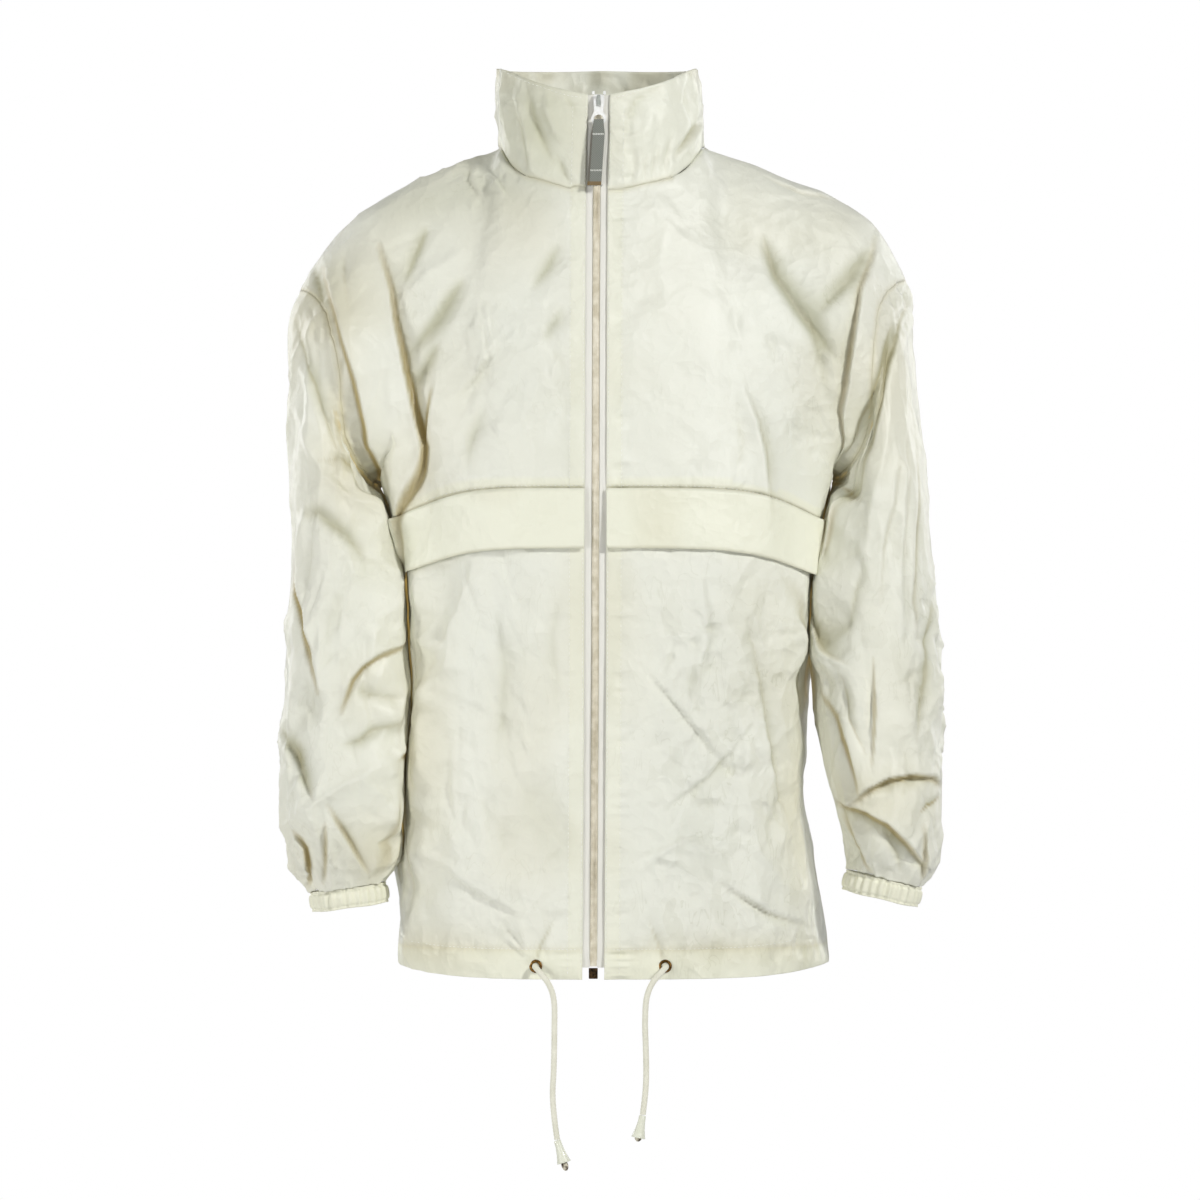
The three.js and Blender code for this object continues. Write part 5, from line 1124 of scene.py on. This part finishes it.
for index in between:
    nearest, _, gap = trees["body" if on_sleeve[index] else "sleeve"].find(place_new[index])
    towards = (np.array(nearest) - place_new[index]) / gap
    facing = smooth_step(towards @ normal[index], 0.1, 0.45)
    crowded[index] = gap + 25 * (1 - facing)
    if gap < 60 and z[index] > closed_until[index] - 30:
        weight = smooth_step(60 - gap, 0, 20)
        weight *= smooth_step(z[index], closed_until[index] - 30, closed_until[index])
        weight *= smooth_step(far_armhole[index], 1, 6) * smooth_step(-z[index], 235, 270) * facing
        closer[index] = towards * max(gap - 1.2, 0) / 2 * weight
ends = np.zeros(2 * len(shell.data.edges), np.int64)
shell.data.edges.foreach_get("vertices", ends)
first_end = np.concatenate([ends[0::2], ends[1::2]])
other_end = np.concatenate([ends[1::2], ends[0::2]])
links = np.bincount(first_end, minlength=len(place)) + 1
for _ in range(5):
    summed = [np.bincount(first_end, closer[other_end, k], len(place)) for k in range(3)]
    closer = (closer + np.stack(summed, axis=1)) / links[:, None]
place_new += closer
print("sleeves and body drawn together, mm", round(float(np.linalg.norm(closer, axis=1).max()), 1))
shell.data.vertices.foreach_set("co", (place_new * MM).astype(np.float32).ravel())
shell.data.update()
print("moved, mm", round(float(move.min()), 1), round(float(move.max()), 1))


def attribute(mesh, name, values):
    layer = mesh.attributes.get(name) or mesh.attributes.new(name, "FLOAT", "POINT")
    layer.data.foreach_set("value", np.asarray(values, np.float32))


double = np.clip(0.6 * front_side * (from_zip < FACING + 0.5) * (on_body & ~on_collar)
                 + on_body * (from_hem < 27)
                 + front_side * on_body * (from_chest > 0) * (from_chest < 9) * 0.8
                 + on_collar * 0.4, 0, 1)
# Painted olive-brown shade: where cloth lies close to other cloth, in sunken places and along the folds'
# lines.
near_other_cloth = np.exp(-(crowded / 9) ** 2)
sunk_shade = 0.35 * smooth_step(-(by_hand + crumple), 4, 11)
deep = np.clip(np.maximum(np.maximum(fold_line_shade, 0.15 * near_other_cloth), sunk_shade), 0, 1)
on_edge = on_collar * smooth_step(z, 30, 70)
grime_and_shade = np.clip(0.25 * np.clip(soft_noise(place, 70, 41), 0, 1)
                + 0.22 * on_body * np.exp(-((from_hem - 27) / 3) ** 2)
                + 0.35 * np.exp(-(far_seam / 3) ** 2)
                + 0.35 * on_edge * np.clip(soft_noise(place, 18, 42) + 0.3, 0, 1), 0, 1)
# Patches: place sideways, height, half width, half height, strength.
CRUSH_PATCHES = [
    (-118, -32, 40, 34, 0.3), (108, -530, 70, 120, 0.8), (296, -470, 26, 110, 0.9),
    (-66, -200, 60, 60, 0.35), (196, -210, 40, 80, 0.45), (272, -130, 30, 50, 0.5),
    (-262, -540, 40, 110, 0.5), (-110, -650, 80, 60, 0.45), (120, -690, 90, 40, 0.5),
    (-250, -640, 50, 30, 0.5), (258, -630, 50, 40, 0.5),
]
# Patches of painted tan shade on the sides, in folds and near the hem.
TAN_SHADE_PATCHES = [
    (-158, -520, 24, 130, 0.55), (-248, -150, 40, 50, 0.3), (182, -600, 20, 100, 0.3),
    (-232, -235, 14, 60, 0.4), (-225, -300, 30, 40, 0.3), (240, -590, 50, 30, 0.3),
    (-150, -720, 60, 20, 0.4), (120, -720, 90, 14, 0.3), (-200, -640, 26, 30, 0.35),
]
# Patches of painted grey-green shade.
HOLLOW_SHADE_PATCHES = [
    (-170, -50, 60, 26, 0.3), (-60, 20, 44, 64, 0.55), (-250, -120, 30, 30, 0.2), (-110, -35, 40, 20, 0.25),
]


def patched(value, patches, where=1):
    """The value with soft round patches added to it."""
    for patch_x, patch_z, wide, tall, strength in patches:
        value = value + where * strength * np.exp(-((x - patch_x) / wide) ** 2 - ((z - patch_z) / tall) ** 2)
    return value


crush = patched(0.42 + 0.3 * soft_noise(place, 80, 71), CRUSH_PATCHES)
crush = np.clip(crush, 0.08, 1) * np.where(on_collar, 0.9, 1)
# Painted tan shade where cloth lies close to other cloth and in the patches, added to the grime.
grime_and_shade = patched(grime_and_shade + 0.1 * on_sleeve + 0.55 * near_other_cloth, TAN_SHADE_PATCHES, front_side)
# Painted grey-green shade in the hollows of the creases and the crumple, and in the patches.
hollow_shading = smooth_step(-by_hand, 0.8, 5.5) * np.where(front_side, 0.72, 0.3)
hollow_shading = patched(hollow_shading + smooth_step(-(crumple + scattered), 1.6, 5.0) * 0.15, HOLLOW_SHADE_PATCHES, front_side)
attribute(shell.data, "sage_shade", np.clip(hollow_shading, 0, 1))
attribute(shell.data, "crush", crush)
attribute(shell.data, "glow", np.clip(0.8 * near_other_cloth ** 2 + 0.3 * fold_line_shade * ~on_collar, 0, 1))
attribute(shell.data, "double", double)
attribute(shell.data, "deep", deep)
attribute(shell.data, "grime_and_shade", np.clip(grime_and_shade, 0, 1))

# %% [markdown]
# ## Cut the shell into its panels
# Copies of the shell lose every face but their own panel's, so that neighbours meet exactly at
# their seams. Solidify gives each the thickness of the cloth, inwards, and each panel's area is
# printed.

# %% Panels
CLOTH_THICKNESS = 0.5


def thicken(piece, thickness=CLOTH_THICKNESS):
    modifier = piece.modifiers.new("cloth", "SOLIDIFY")
    modifier.thickness = thickness * MM
    modifier.offset = -1
    modifier.use_even_offset = False
    modifier.use_rim = True


shell_source = shell.data
for number, name in enumerate(PANELS):
    bm = bmesh.new()
    bm.from_mesh(shell_source)
    bmesh.ops.delete(bm, geom=[f for f in bm.faces if f.material_index != number], context="FACES")
    for face in bm.faces:
        face.material_index = 0
    area = sum(f.calc_area() for f in bm.faces)
    panel = new_object(f"cloth_{name}", bm, taffeta)
    thicken(panel)
    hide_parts(name)
    print(panel.name, "faces", len(panel.data.polygons), "area, m2", round(area, 4))

shell_tree = tree_of(shell_source)
bpy.data.objects.remove(shell)

# %% [markdown]
# ## The chest flaps
# Each flap is a double strip sewn into the chest seam, its lower edge free and a little proud. Its
# solid's skin is rounded in the same way as the shell. It takes the main creases at four fifths of
# their height, since two layers lie flatter than one, and moves with the body's cloth below it.

# %% Flaps
for side in SIDES:
    name = f"chest_flap_{side}"
    skin = panel_skin(name)
    mesh = bpy.data.meshes.new(name)
    skin.to_mesh(mesh)
    skin.free()
    flap = bpy.data.objects.new(f"cloth_{name}", mesh)
    bpy.context.scene.collection.objects.link(flap)
    flap.data = subdivided(flap, 3)
    flap.data.materials.append(taffeta_double)
    flap.data.shade_smooth()
    p = array_of(flap.data, "co") / MM
    n = array_of(flap.data, "normal")
    down = np.clip((chest_seam(p[:, 0], side) - p[:, 2]) / FLAP_DEPTH, 0, 1)
    ones, nothing = np.ones(len(p)), np.zeros(len(p))
    creases, line_shades = all_creases(p, n, {"body": ones, "both": ones, "sleeve": nothing, "collar": nothing})
    stitched = np.exp(-((down * FLAP_DEPTH) / 7) ** 2)
    lift = (creases * 0.8 + 0.7 * ridged(turned(p, 70, 2.4), 46, 51)
            + 0.35 * waves(p[:, 0], 9, 52) * stitched
            + 0.9 * soft_noise(p, 60, 53) * down)
    lift *= smooth_step(np.abs(p[:, 0] - zip_x(p[:, 2])) - ZIP_VISIBLE, 0, 24)
    follow = np.array([closer[point_tree.find(spot)[1]] for spot in p])
    p_new = p + n * np.maximum(lift + 0.6, -0.4)[:, None] + follow * 1.05
    flap.data.vertices.foreach_set("co", (p_new * MM).astype(np.float32).ravel())
    flap.data.update()
    # The flap takes the creases' painted olive-brown line shade, and is darker along its free lower edge.
    lower_edge_darkening = 0.3 * np.exp(-((1 - down) * FLAP_DEPTH / 2) ** 2)
    flap_tone = 0.25 * np.clip(soft_noise(p, 50, 54), 0, 1) + lower_edge_darkening
    for layer, values in (("double", ones), ("crush", ones * 0.35), ("deep", line_shades), ("grime_and_shade", flap_tone)):
        attribute(flap.data, layer, values)
    thicken(flap, 0.9)
    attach(flap, jacket_body)
    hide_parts(name)
    print(flap.name, len(flap.data.polygons))

# %% [markdown]
# ## The cuffs
# An elastic in a casing gathers each sleeve end. The casing is a short ring, oval seen from below
# and tilted, with about two dozen soft gathers: the ring is a circle extruded up in four steps,
# and its radius follows the gathers and the swell between its two rows of stitching.

# %% Cuffs
CUFF_TOP = {
    "right": ((261, -48, -672), (194, -48, -663), 33.0),
    "left": ((290, -48, -668), (223, -48, -652), 33.0),
}
CUFF_HEIGHT = 18.4
GATHERS = 27


def make_cuff(side):
    outer, inner, deep_half = CUFF_TOP[side]
    outer, inner = Vector(outer), Vector(inner)
    outer.x *= SIGN[side]
    inner.x *= SIGN[side]
    middle = (outer + inner) / 2
    across = (outer - inner).normalized()
    down = Vector((across.z, 0, -across.x)) if SIGN[side] > 0 else Vector((-across.z, 0, across.x))
    if down.z > 0:
        down = -down
    half = (outer - inner).length / 2
    bm = bmesh.new()
    steps = GATHERS * 10
    bmesh.ops.create_circle(bm, segments=steps, radius=1.0, cap_ends=False)
    rings = 22
    edges = bm.edges[:]
    ring = bm.verts[:]
    rows = [ring]
    for _ in range(rings):
        made = bmesh.ops.extrude_edge_only(bm, edges=edges)["geom"]
        edges = [g for g in made if isinstance(g, bmesh.types.BMEdge)]
        vertices = [g for g in made if isinstance(g, bmesh.types.BMVert)]
        kept = set(vertices)
        edges = [e for e in edges if e.verts[0] in kept and e.verts[1] in kept]
        rows.append(vertices)
    rng = random.Random(5 if side == "right" else 9)
    phases = [rng.uniform(-0.5, 0.5) for _ in range(GATHERS)]
    sizes = [rng.uniform(0.6, 1.25) for _ in range(GATHERS)]
    for row, vertices in enumerate(rows):
        t = row / rings
        swell = 0.6 + 1.7 * math.sin(math.pi * t) ** 0.8
        swell -= 1.3 * math.exp(-((t - 0.13) / 0.05) ** 2) + 1.1 * math.exp(-((t - 0.87) / 0.05) ** 2)
        for vertex in vertices:
            angle = math.atan2(vertex.co.y, vertex.co.x)
            turn = (angle / (2 * math.pi) * GATHERS) % GATHERS
            which = int(turn) % GATHERS
            local = turn - int(turn)
            wave = math.cos(2 * math.pi * local + phases[which] * math.sin(math.pi * t) * 1.5) * sizes[which]
            fold = 1.25 * wave * (0.75 + 0.25 * math.sin(math.pi * t))
            size = swell + fold - 0.9
            spot = middle + down * (0.5 + CUFF_HEIGHT * t + 0.35 * math.sin(5 * angle) * t)
            spot += across * ((half + size) * math.cos(angle))
            spot.y += (deep_half + size) * math.sin(angle)
            vertex.co = spot * MM
    bmesh.ops.recalc_face_normals(bm, faces=bm.faces[:])
    centre = middle * MM
    outward = sum((f.calc_center_median() - centre).dot(f.normal) for f in bm.faces)
    if outward < 0:
        bmesh.ops.reverse_faces(bm, faces=bm.faces[:])
    return bm


for side in SIDES:
    cuff = new_object(f"cloth_cuff_{side}", make_cuff(side), taffeta_double)
    for layer, value in (("double", 1.0), ("crush", 0.2), ("deep", 0.0), ("grime_and_shade", 0.15)):
        attribute(cuff.data, layer, np.full(len(cuff.data.vertices), value))
    thicken(cuff, 1.3)
    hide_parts(f"cuff_{side}")
    print(cuff.name, len(cuff.data.polygons))

# %% [markdown]
# ## The zip
# The tapes are woven white ribbons with a fine rib, and the coil is a beige nylon spring whose
# loops from both sides interlock. Each loop shows as a small slanting bead, so a row of beads is
# laid along each side of the coil's middle, over the coil's own solid.

# %% Zip materials
def make_woven(name, light, dark, roughness, threads):
    material, tree, shader = new_material(name, roughness, Sheen_Weight=0.2)
    spot = object_place(tree)
    weave = weave_height(tree, spot, threads)
    shade = maths(tree, "ADD", maths(tree, "MULTIPLY", weave, 0.6),
                  maths(tree, "MULTIPLY", noise(tree, spot, 60.0, 3.0), 0.4))
    tree.links.new(mix_colour(tree, shade, dark, light), shader.inputs["Base Color"])
    bump_into(tree, shader, weave, 0.5, 0.0003)
    return material


def make_plain(name, light, dark, roughness, scale, metallic=0.0, **constants):
    material, tree, shader = new_material(name, roughness, metallic, **constants)
    cloud = noise(tree, object_place(tree), scale, 4.0)
    spread = add_node(tree, "ShaderNodeMapRange", {"Value": cloud, "From Min": 0.35, "From Max": 0.65})
    tree.links.new(mix_colour(tree, spread.outputs[0], light, dark), shader.inputs["Base Color"])
    rough = add_node(tree, "ShaderNodeMapRange",
                     {"Value": cloud, "To Min": roughness * 0.8, "To Max": roughness * 1.25})
    tree.links.new(rough.outputs[0], shader.inputs["Roughness"])
    bump_into(tree, shader, cloud, 0.3, 0.0002)
    return material


tape_material = make_woven("zip tape", srgb("F8F6EE"), srgb("E6E5DC"), 0.7, 1100.0)
coil_material = make_plain("coil nylon", srgb("E9E2CF"), srgb("CFC6AE"), 0.38, 120.0)
enamel_material = make_plain("white enamel", srgb("FAFAF8"), srgb("EFEFEA"), 0.22, 500.0, Coat_Weight=0.5)
webbing_material = make_woven("grey webbing", srgb("868B8B"), srgb("5C6162"), 0.85, 700.0)
brass_material = make_plain("antique brass", srgb("9A7440"), srgb("3D2B16"), 0.35, 700.0, 1.0)
bronze_material = make_plain("dark bronze", srgb("5A452C"), srgb("1F1811"), 0.4, 500.0, 0.9)
thread_material = make_plain("thread", srgb("FBFBF6"), srgb("E6E6DA"), 0.6, 900.0)

# %% [markdown]
# The strap's edges and folded end are brown where the webbing was cut and melted, and the
# slider's bridge shows grey metal through worn enamel. Both are tints by place: the strap's from
# its distance to its own middle line, the slider's from how far in front a point lies.

# %% Strap and slider materials
def make_strap_material():
    material, tree, shader = new_material("webbing of the strap", 0.85, Sheen_Weight=0.2)
    spot = object_place(tree)
    weave = weave_height(tree, spot, 620.0)
    colour = mix_colour(tree, weave, srgb("55584F"), srgb("989B93"))
    split = add_node(tree, "ShaderNodeSeparateXYZ", {0: spot})
    middle = maths(tree, "MULTIPLY", maths(tree, "SUBTRACT", 0.0203, split.outputs["Z"]), -0.0607)
    off = maths(tree, "ABSOLUTE", maths(tree, "SUBTRACT", split.outputs["X"], middle))
    off = maths(tree, "ADD", off, maths(tree, "MULTIPLY", noise(tree, spot, 700.0, 3.0), 0.0009))
    edge = maths(tree, "GREATER_THAN", off, 0.0062)
    ends = maths(tree, "LESS_THAN", split.outputs["Z"], -0.0355)
    tinted = mix_colour(tree, maths(tree, "MULTIPLY", edge, 0.6), colour, srgb("54483A"))
    tinted = mix_colour(tree, maths(tree, "MULTIPLY", ends, 0.85), tinted, srgb("7A6238"))
    tree.links.new(tinted, shader.inputs["Base Color"])
    bump_into(tree, shader, weave, 0.6, 0.0004)
    return material


def make_slider_material():
    material, tree, shader = new_material("slider enamel", 0.25, Coat_Weight=0.4)
    spot = object_place(tree)
    split = add_node(tree, "ShaderNodeSeparateXYZ", {0: spot})
    in_front = maths(tree, "LESS_THAN", split.outputs["Y"], -0.1024)
    wear = maths(tree, "MULTIPLY", in_front, maths(tree, "ADD", 0.5, noise(tree, spot, 600.0, 4.0)))
    colour = mix_colour(tree, maths(tree, "MINIMUM", wear, 1.0), srgb("F7F7F4"), srgb("9EA39C"))
    tree.links.new(colour, shader.inputs["Base Color"])
    return material


# %% Tapes, stops and box: rounded copies of their solids
def rounded_copy(node, name, material, bevel, segments=2, body=jacket_body):
    """A merged copy of a CAD node with its edges softened."""
    bm = bmesh.new()
    bm.from_mesh(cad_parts[node].data)
    bmesh.ops.remove_doubles(bm, verts=bm.verts[:], dist=1e-6)
    bmesh.ops.dissolve_limit(bm, angle_limit=math.radians(1), verts=bm.verts[:], edges=bm.edges[:])
    sharp = [e for e in bm.edges if len(e.link_faces) == 2 and e.calc_face_angle(0) > math.radians(35)]
    bmesh.ops.bevel(bm, geom=sharp, offset=bevel * MM, affect="EDGES", segments=segments, profile=0.5,
                    material=-1, clamp_overlap=True)
    piece = new_object(name, bm, material, body)
    piece.data.shade_flat()
    piece.modifiers.new("normals", "WEIGHTED_NORMAL").keep_sharp = True
    piece.data.shade_smooth()
    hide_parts(node)
    return piece


for side in SIDES:
    rounded_copy(f"zip_tape_{side}", f"zip_ribbon_{side}", tape_material, 0.15, 1)
    rounded_copy(f"zip_top_stop_{side}", f"zip_stop_{side}", enamel_material, 0.5)
rounded_copy("zip_box", "zip_end_box", bronze_material, 0.7, 3)
rounded_copy("zip_slider", "slider_body", make_slider_material(), 0.3, 3)
rounded_copy("pull_tab", "tab_of_the_pull", enamel_material, 0.35, 3, pull_body)
strap = rounded_copy("pull_strap", "strap_of_the_pull", make_strap_material(), 0.3, 2, pull_body)

# %% [markdown]
# Two bars of white thread hold the folded strap, and its cut end is frayed. The bars are short
# capsules laid side by side on the strap's face, and the fray is a few dozen of the same capsules,
# thinner and turned at random.

# %% Bars and frayed threads of the strap
strap_tree = tree_of(strap.data)


def capsule(bm, start, end, radius):
    """One thread bead between two points in mm."""
    made = bmesh.ops.create_icosphere(bm, subdivisions=1, radius=1.0)["verts"]
    turn = (end - start).to_track_quat("Z", "Y").to_matrix()
    bmesh.ops.scale(bm, vec=Vector((radius, radius, (end - start).length / 2)) * MM, verts=made)
    bmesh.ops.rotate(bm, cent=(0, 0, 0), matrix=turn, verts=made)
    bmesh.ops.translate(bm, vec=(start + end) / 2 * MM, verts=made)


def strap_middle(height):
    return -0.05 - 0.0607 * (20.3 - height)


bars = bmesh.new()
for height, half in ((7.3, 5.9), (6.4, 5.9), (-25.2, 5.9), (-26.0, 5.9)):
    middle = strap_middle(height)
    spots = []
    for k in range(9):
        across = middle - half + 2 * half * k / 8
        start = Vector((across, -300, height + 0.15 * (-1) ** k)) * MM
        hit = strap_tree.ray_cast(start, Vector((0, 1, 0)))[0]
        if hit is not None:
            spots.append(hit / MM + Vector((0, -0.12, 0)))
    for first, second in zip(spots, spots[1:]):
        capsule(bars, first, second, 0.34)
bar_threads = new_object("strap_bars", bars, thread_material, pull_body)

fray = bmesh.new()
rng = random.Random(3)
for k in range(46):
    low_end = k < 30
    height = -38.6 + rng.uniform(-0.3, 0.6) if low_end else -26 + rng.uniform(-3, 2.5)
    across = strap_middle(height) + (rng.uniform(-6.2, 6.2) if low_end else -6.0)
    hit = strap_tree.ray_cast(Vector((across * (0.98 if low_end else 0.95), -300, max(height, -38.2))) * MM,
                              Vector((0, 1, 0)))[0]
    depth = hit.y / MM if hit is not None else -104.5
    begin = Vector((across, depth + 0.5, height))
    lean = Vector((rng.uniform(-1.3, 0.8), rng.uniform(-0.4, 0.3), -rng.uniform(0.6, 1.9))) if low_end \
        else Vector((-rng.uniform(0.6, 2.2), rng.uniform(-0.4, 0.2), rng.uniform(-2.2, 2.4)))
    capsule(fray, begin, begin + lean, 0.13)
fray_threads = new_object("strap_fray", fray, webbing_material, pull_body)
print("strap threads", len(bar_threads.data.polygons), len(fray_threads.data.polygons))

# %% Teeth of the coil
TOOTH_PITCH = 1.55
COIL_TOP = 33.0
COIL_FOOT = -734.0
FRONT_LINE = [(-747, 139), (-700, 140), (-650, 141), (-600, 141), (-535, 142), (-460, 142), (-400, 141),
              (-342, 140), (-310, 140), (-220, 131), (-150, 118), (-90, 104), (-43, 95), (0, 98), (43, 99)]


def front_y(height):
    return -float(np.interp(height, [p[0] for p in FRONT_LINE], [p[1] for p in FRONT_LINE]))


def bead(bm, centre, size, tilt):
    """One loop of the coil: a low rounded block."""
    made = bmesh.ops.create_icosphere(bm, subdivisions=1, radius=0.5)["verts"]
    bmesh.ops.scale(bm, vec=size, verts=made)
    bmesh.ops.rotate(bm, cent=(0, 0, 0), matrix=Matrix.Rotation(tilt, 3, "Y"), verts=made)
    bmesh.ops.translate(bm, vec=centre, verts=made)


teeth = bmesh.new()
count = int((COIL_TOP - COIL_FOOT) / TOOTH_PITCH)
for k in range(count):
    for sign in (-1, 1):
        height = COIL_FOOT + (k + (0.25 if sign > 0 else 0.75)) * TOOTH_PITCH
        bead(teeth, Vector((float(zip_x(height)) + sign * 1.35, front_y(height) + 0.55, height)) * MM,
             Vector((3.3, 1.7, 0.95)) * MM, sign * math.radians(14))
coil_teeth = new_object("zip_teeth", teeth, coil_material)
rounded_copy("zip_coil", "zip_coil_core", coil_material, 0.2, 1)
print("teeth", 2 * count, "faces", len(coil_teeth.data.polygons))

# %% [markdown]
# ## Eyelets
# A brass eyelet is a rolled ring with a throat that goes into the cloth. The section is a closed
# loop away from the axis, spun round the hole, and turned to the casing's own slope.

# %% Eyelets
EYELET = {"right": (-57.0, -735.0), "left": (58.0, -735.0)}


def surface_at(px, pz, facing=-1):
    """Point and normal of the shell at a place seen from the front or from behind, in mm."""
    start = Vector((px, facing * 400, pz)) * MM
    hit, hit_normal, _, _ = shell_tree.ray_cast(start, Vector((0, -facing, 0)))
    if hit is None:
        return None
    if hit_normal.y * facing < 0:
        hit_normal = -hit_normal
    return hit / MM, hit_normal


for side in SIDES:
    low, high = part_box(f"eyelet_{side}")
    centre = (low + high) / 2
    spot, spot_normal = surface_at(*EYELET[side])
    section = [(3.3, -0.9), (3.25, 0.5), (3.6, 1.0), (4.3, 1.3), (5.1, 1.2), (5.7, 0.8), (5.95, 0.1),
               (5.6, -0.1), (4.2, -0.1), (3.9, -0.9)]
    bm = bmesh.new()
    vertices = [bm.verts.new((r * MM, 0, h * MM)) for r, h in section]
    loop = [bm.edges.new(pair) for pair in zip(vertices, vertices[1:] + vertices[:1])]
    bmesh.ops.spin(bm, geom=vertices + loop, cent=(0, 0, 0), axis=(0, 0, 1), angle=2 * math.pi, steps=48,
                   use_merge=True)
    bmesh.ops.remove_doubles(bm, verts=bm.verts[:], dist=1e-6)
    bmesh.ops.recalc_face_normals(bm, faces=bm.faces[:])
    out = spot_normal
    turn = Vector(out).to_track_quat("Z", "Y").to_matrix().to_4x4()
    bmesh.ops.transform(bm, matrix=Matrix.Translation((spot + out * 0.5) * MM) @ turn, verts=bm.verts[:])
    ring = new_object(f"brass_eyelet_{side}", bm, brass_material)
    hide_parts(f"eyelet_{side}")
    print(ring.name, "surface", [round(v, 1) for v in spot], "cad", [round(v, 1) for v in centre / MM])

# %% [markdown]
# ## Stitching
# Lockstitch shows as a row of short thread beads. Each stitch is one small capsule laid on the
# cloth, found by looking straight at the shell, and all the stitches of a seam are one mesh.

# %% Stitches along a path
def stitch_row(bm, path, facing=-1, length=2.3, gap=0.9, radius=0.26, lift=0.12):
    """Stitches along a path of (x, z) places on the shell."""
    points = []
    for (ax, az), (bx, bz) in zip(path, path[1:]):
        span = math.hypot(bx - ax, bz - az)
        steps = max(int(span / 1.2), 1)
        for k in range(steps):
            found = surface_at(ax + (bx - ax) * k / steps, az + (bz - az) * k / steps, facing)
            if found:
                points.append(found[0] + found[1] * lift)
    travelled = 0.0
    begin = points[0] if points else None
    for previous, point in zip(points, points[1:]):
        step = (point - previous).length
        if step > 6:
            begin = point
            travelled = 0.0
            continue
        travelled += step
        if begin is not None and travelled >= length:
            capsule(bm, begin, point, radius)
            begin = None
            travelled = 0.0
        elif begin is None and travelled >= gap:
            begin = point
            travelled = 0.0
    return bm


stitches = bmesh.new()
for side in SIDES:
    sign = SIGN[side]
    for offset in (1.6, FACING - 0.6):
        heights = np.arange(-742, 41, 8.0)
        for low_z, high_z in ((-742, -46), (-40, 40)):
            part = [h for h in heights if low_z <= h <= high_z]
            stitch_row(stitches, [(float(zip_x(h)) + sign * (ZIP_VISIBLE + offset), h) for h in part])
    xs = np.arange(12, 158 if side == "right" else 180, 5.0)
    stitch_row(stitches, [(sign * v - 4, chest_seam(v, side) + 2.2) for v in xs])
    xs = np.arange(16, 168 if side == "right" else 190, 6.0)
    stitch_row(stitches, [(sign * v - 5, -747 + 27 + 9 * (v / 195) ** 5) for v in xs])
    stitch_row(stitches, [(sign * v, -744 + 27 + 6 * (v / 195) ** 5) for v in np.arange(0, 176, 6.0)], 1)
for side in SIDES:
    sign = SIGN[side]
    top = {"right": [(-16, 40), (-25, 41), (-39, 45), (-60, 53), (-73, 59), (-88, 68)],
           "left": [(12, 40), (23, 42), (44, 51), (64, 58), (84, 66)]}[side]
    stitch_row(stitches, top)
thread = new_object("stitching", stitches, thread_material)
print("stitch faces", len(thread.data.polygons))

# %% [markdown]
# ## Light, floor and backdrop
# The photograph is a bright studio shot, white all round. The key lamp stands high on the viewer's
# right, weaker ones fill in from the left and the front, and three light the top and the back. The
# camera sees a white world, while the light on the cloth comes mostly from the lamps, so that the
# creases keep their shade.

# %% Studio
LAMPS = (
    # name, place, what it aims at, size in metres, watts
    ("key", (2.3, -2.6, 1.35), (0, 0, -0.4), (0.4, 0.5), 90),
    ("fill", (-2.1, -2.5, -0.5), (0, 0, -0.45), (0.5, 0.8), 22),
    ("front", (-0.5, -5.0, -0.1), (0, 0, -0.4), (0.4, 0.4), 10),
    ("left", (-3.0, -0.9, 0.1), (-0.2, 0, -0.4), (0.35, 0.7), 25),
    ("top", (-0.4, 0.2, 2.0), (0, 0, -0.3), (1.2, 0.8), 4),
    ("back left", (-1.6, 1.5, 0.2), (0, 0, -0.4), (1.0, 1.6), 14),
    ("back right", (1.6, 1.5, 0.2), (0, 0, -0.4), (1.0, 1.6), 14),
)
for name, location, aim, size, power in LAMPS:
    data = bpy.data.lights.new(name, "AREA")
    data.shape = "RECTANGLE"
    data.size, data.size_y = size
    data.energy = power
    lamp = bpy.data.objects.new(name, data)
    bpy.context.scene.collection.objects.link(lamp)
    lamp.location = location
    lamp.rotation_euler = (Vector(aim) - Vector(location)).to_track_quat("-Z", "Y").to_euler()

world = bpy.data.worlds.new("studio")
world.use_nodes = True
bpy.context.scene.world = world
world_tree = world.node_tree
backdrop = world_tree.nodes["Background"]
backdrop.inputs["Color"].default_value = (0.86, 0.88, 0.9, 1)
backdrop.inputs["Strength"].default_value = 0.2
seen = add_node(world_tree, "ShaderNodeBackground", {"Color": (1, 1, 1, 1), "Strength": 1.0})
ray = add_node(world_tree, "ShaderNodeLightPath")
choose = add_node(world_tree, "ShaderNodeMixShader")
world_tree.links.new(ray.outputs["Is Camera Ray"], choose.inputs[0])
world_tree.links.new(backdrop.outputs[0], choose.inputs[1])
world_tree.links.new(seen.outputs[0], choose.inputs[2])
world_tree.links.new(choose.outputs[0], world_tree.nodes["World Output"].inputs["Surface"])
bpy.context.scene.view_settings.view_transform = "Standard"

FLOOR_Z = -1.45
floor_mesh = bpy.data.meshes.new("floor")
floor_bm = bmesh.new()
bmesh.ops.create_grid(floor_bm, x_segments=1, y_segments=1, size=2.6)
bmesh.ops.translate(floor_bm, vec=(0, 0, FLOOR_Z), verts=floor_bm.verts[:])
floor_bm.to_mesh(floor_mesh)
floor_bm.free()
floor = bpy.data.objects.new("floor", floor_mesh)
bpy.context.scene.collection.objects.link(floor)
floor_material, _, floor_shader = new_material("pale floor", 0.8)
floor_shader.inputs["Base Color"].default_value = (0.86, 0.86, 0.86, 1)
floor_mesh.materials.append(floor_material)
floor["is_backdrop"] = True

# %% Sizes
low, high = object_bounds()
